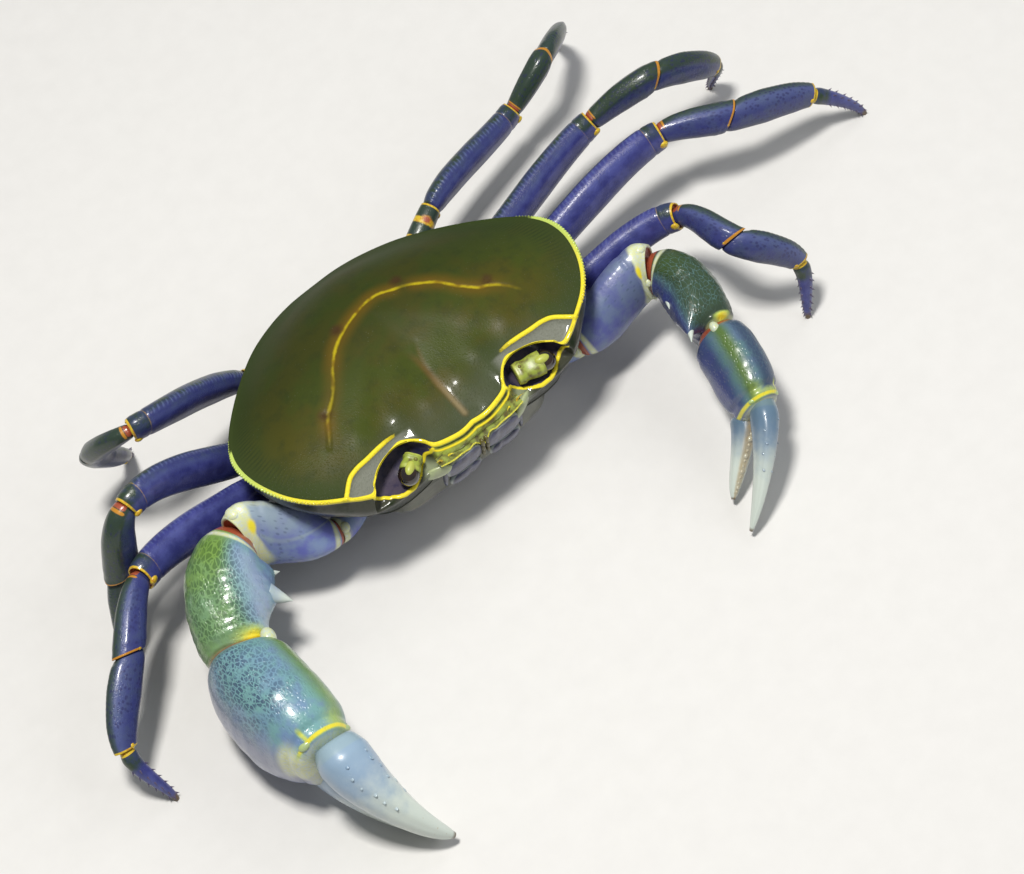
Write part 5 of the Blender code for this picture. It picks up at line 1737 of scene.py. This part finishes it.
def build_claw_arm(claw):
    """A claw arm of five pieces: base, merus, carpus, palm with its fixed finger, and dactyl."""
    side = claw["side"]

    def spot(name):
        return outward(claw[name], side)

    out, foot = wall_way(outward(CLAW_HIP, side))
    chain = [foot + out * GAP, spot("root"), spot("elbow"), spot("wrist"), spot("palm_end")]
    along = unit(chain[-1] - chain[-2])
    ways = joint_ways(chain, out, along)
    ups = {part: spot(part + "_up") for part in ("merus", "carpus", "palm")}
    ups["base"] = (0, 0, 1)
    pieces = (
        ("base", "merus", BASE_FORM, CLAW_BASE_SIZE, 50, None),
        ("merus", "carpus", MERUS_SWELL[side], claw["merus"], 120, arm_relief),
        ("carpus", "palm", CARPUS_SWELL, claw["carpus"], 130, wrist_relief),
        ("palm", "palm", PALM_SWELL, claw["palm"], 150, palm_relief),
    )
    for index, (part, last_up, form, scale, rows, relief) in enumerate(pieces):
        limb = Limb(
            chain[index], ways[index], chain[index + 1], ways[index + 1], (ups[part], ups[last_up]),
            form, scale, rows, CLAW_SIDES, relief,
        )
        skin = Skin()
        node = f"claw_{side}_{part}"
        if index < 2:
            lay_limb(skin, limb, arm_traits(part, limb, side))
            add_arm_knobs(skin, limb, part, claw)
            skin.make(f"{node}_shell", "arm", node)
        elif part == "carpus":
            lay_wrist(skin, limb, claw)
            skin.make(f"{node}_shell", "claw", node)
        else:
            lay_limb(skin, limb, claw_traits(part, limb, side), cup=DOME_END, rust_cup=False)
            add_palm_knobs(skin, limb, side)
            skin.make(f"{node}_shell", "claw", node)
            build_fingers(claw, spot, square_to(ups["palm"], along), along, node)


def lay_wrist(skin, limb, claw):
    """A claw's carpus, drawn out to its two thorns, and the membrane at the large one's inner side."""
    thorns = wrist_thorns(claw, limb)
    for (root, tip, radius), (reach, share) in zip(thorns, THORN_CONES):
        draw_out(limb, root, tip, reach * radius, share)
    lay_limb(skin, limb, claw_traits("carpus", limb, claw["side"]))
    for root, tip, radius in thorns:
        skin.thorn(root, tip, radius, {"cream": 0.35, "pale": 0.6}, 28, 24, power=0.85)
    if claw["side"] == "right":
        skin.lump(limb, (0.97, -88.0, 0.90), (1.6, 2.6, 2.2), {"rust": 1.0}, 28, 15, limb.way[-1])


def add_arm_knobs(skin, limb, part, claw):
    """The hinge lobes at the far end of an arm's piece."""
    along = limb.way[-1]
    if part == "base":
        spot = (0.9, 90.0 * SIGN[claw["side"]], 0.9)
        skin.lump(limb, spot, (0.7, 0.9, 0.8), {"cream": 1.0}, 24, 13, along)
        return
    for turn, radius in ((0.0, 0.24), (180.0, 0.22), (90.0, 0.16), (-90.0, 0.16)):
        size = radius * claw["merus"][1]
        half = (size * 0.55, size * 0.85, size * 0.8)
        skin.lump(limb, (0.955, turn, 0.88), half, {"cream": 1.0}, 28, 15, along)


def wrist_thorns(claw, limb):
    """Root, tip and radius of the two thorns on the inner side of a claw's carpus."""
    side = claw["side"]
    if side == "right":
        return [(outward(root, side), outward(tip, side), radius) for root, tip, radius in MAJOR_THORNS]
    thorns = []
    for place, turn, reach, radius in MINOR_THORNS:
        root, way, along = limb.at(place, turn, 0.80)
        thorns.append((root, root + along * reach * 0.80 + way * reach * 0.50, radius))
    return thorns


def add_palm_knobs(skin, limb, side):
    """The round hinge knob at the wrist and the lobes that hold the moving finger."""
    size = FINGER_SIZE[side]
    inner = 44.0 * SIGN[side]
    axis = limb.way[0]
    point, way, _ = limb.at(0.045, inner, 0.97)
    axes = (way * 1.15 * size, np.cross(axis, way) * 1.25 * size, axis * 1.7 * size)
    skin.blob(point - axis * 0.2 * size, axes, {"cream": 0.7, "green": 0.6}, 32, 17)
    for turn, lobe in ((inner * 1.3, 0.7 * size), (-inner * 0.75, 0.8 * size)):
        half = (0.8 * lobe, 1.5 * lobe, 0.9 * lobe)
        skin.lump(limb, (0.985, turn, 0.93), half, {"yellow": 0.6}, 24, 13, limb.way[-1])


def finger_traits(limb, big, moving):
    """Where a finger is pale, tan, horny, green, yellow or dim."""
    turn, run, _, place = limb.grids()
    gripping = 180.0 if moving else 0.0
    facing = np.abs((turn - gripping + 180) % 360 - 180)
    return {
        "tip": place,
        "tan": soft_step(facing, 40.0, 15.0) * (0.3 if big else 0.8),
        "horn": soft_step(place, 0.955, 0.99),
        "green": soft_step(place, 0.3, 0.05) * 0.5,
        "yellow": (0.34 if moving else 0.0) * soft_step(run, 1.4, 0.2),
        "dim": (0.0 if big else 0.50) * soft_step(place, 0.62, 0.10),
        "light": (0.40 if big else 0.0) * soft_step(place, 0.5, 0.1),
    }


def add_teeth(skin, limb, gripping, size):
    """A row of blunt teeth along the edge that meets the other finger."""
    for index, share in enumerate(np.linspace(0.24, 0.90, TEETH)):
        grow = size * (1.25 if index % 3 == 1 else 0.8) * (1.15 - 0.6 * share)
        half = (grow * 0.75, grow * 0.8, grow)
        skin.lump(limb, (share, gripping, 0.93), half, {"tan": 0.7, "tip": 0.8}, 16, 9)


def build_fingers(claw, spot, up, along, palm_node):
    """The fixed finger, which belongs to the palm, and the moving one, with their teeth and bumps."""
    side = claw["side"]
    big = side == "right"
    size = FINGER_SIZE[side]
    fixed = Limb(
        spot("pollex_root"), spot("pollex_leave"), spot("pollex_tip"), spot("pollex_arrive"), (up, up),
        FINGER_TAPER, claw["finger"], 130, 72, finger_relief,
    )
    skin = Skin()
    lay_limb(skin, fixed, finger_traits(fixed, big, False), (), ())
    add_teeth(skin, fixed, 0.0, 0.75 * size)
    skin.make(f"claw_{side}_fixed_finger", "finger", palm_node)
    moving = Limb(
        spot("dactyl_root") + along * GAP, spot("dactyl_leave"), spot("dactyl_tip"), spot("dactyl_arrive"),
        (up, up), DACTYL_TAPER, claw["dactyl"], 150, 80, finger_relief,
    )
    skin = Skin()
    lay_limb(skin, moving, finger_traits(moving, big, True), FINGER_NECK, ())
    add_teeth(skin, moving, 180.0, 0.75 * size)
    for turn in (-32.0, 32.0):
        for share in np.linspace(0.10, 0.48, 6 if big else 5):
            place = (share + 0.03 * rng.random(), turn + 9 * rng.standard_normal(), 0.985)
            grow = size * (0.75 + 0.5 * rng.random())
            bump = {"tip": 0.20 + 0.3 * share, "dim": 0.0 if big else 0.35}
            skin.lump(moving, place, (0.15 * grow, 0.34 * grow, 0.46 * grow), bump, 14, 7, along)
    skin.make(f"claw_{side}_moving_finger", "finger", f"claw_{side}_dactyl")


view_ways = make_camera()
make_stage(*view_ways)
build_finishes()
build_carapace()
build_epistome()
build_sternum()
build_abdomen()
for side in ("left", "right"):
    build_eye(side)
    build_mouth_plate(side)
for side, legs in (("left", LEFT_LEGS), ("right", RIGHT_LEGS)):
    for number, joints in legs.items():
        build_leg(side, number, joints)
for claw in (MAJOR, MINOR):
    build_claw_arm(claw)
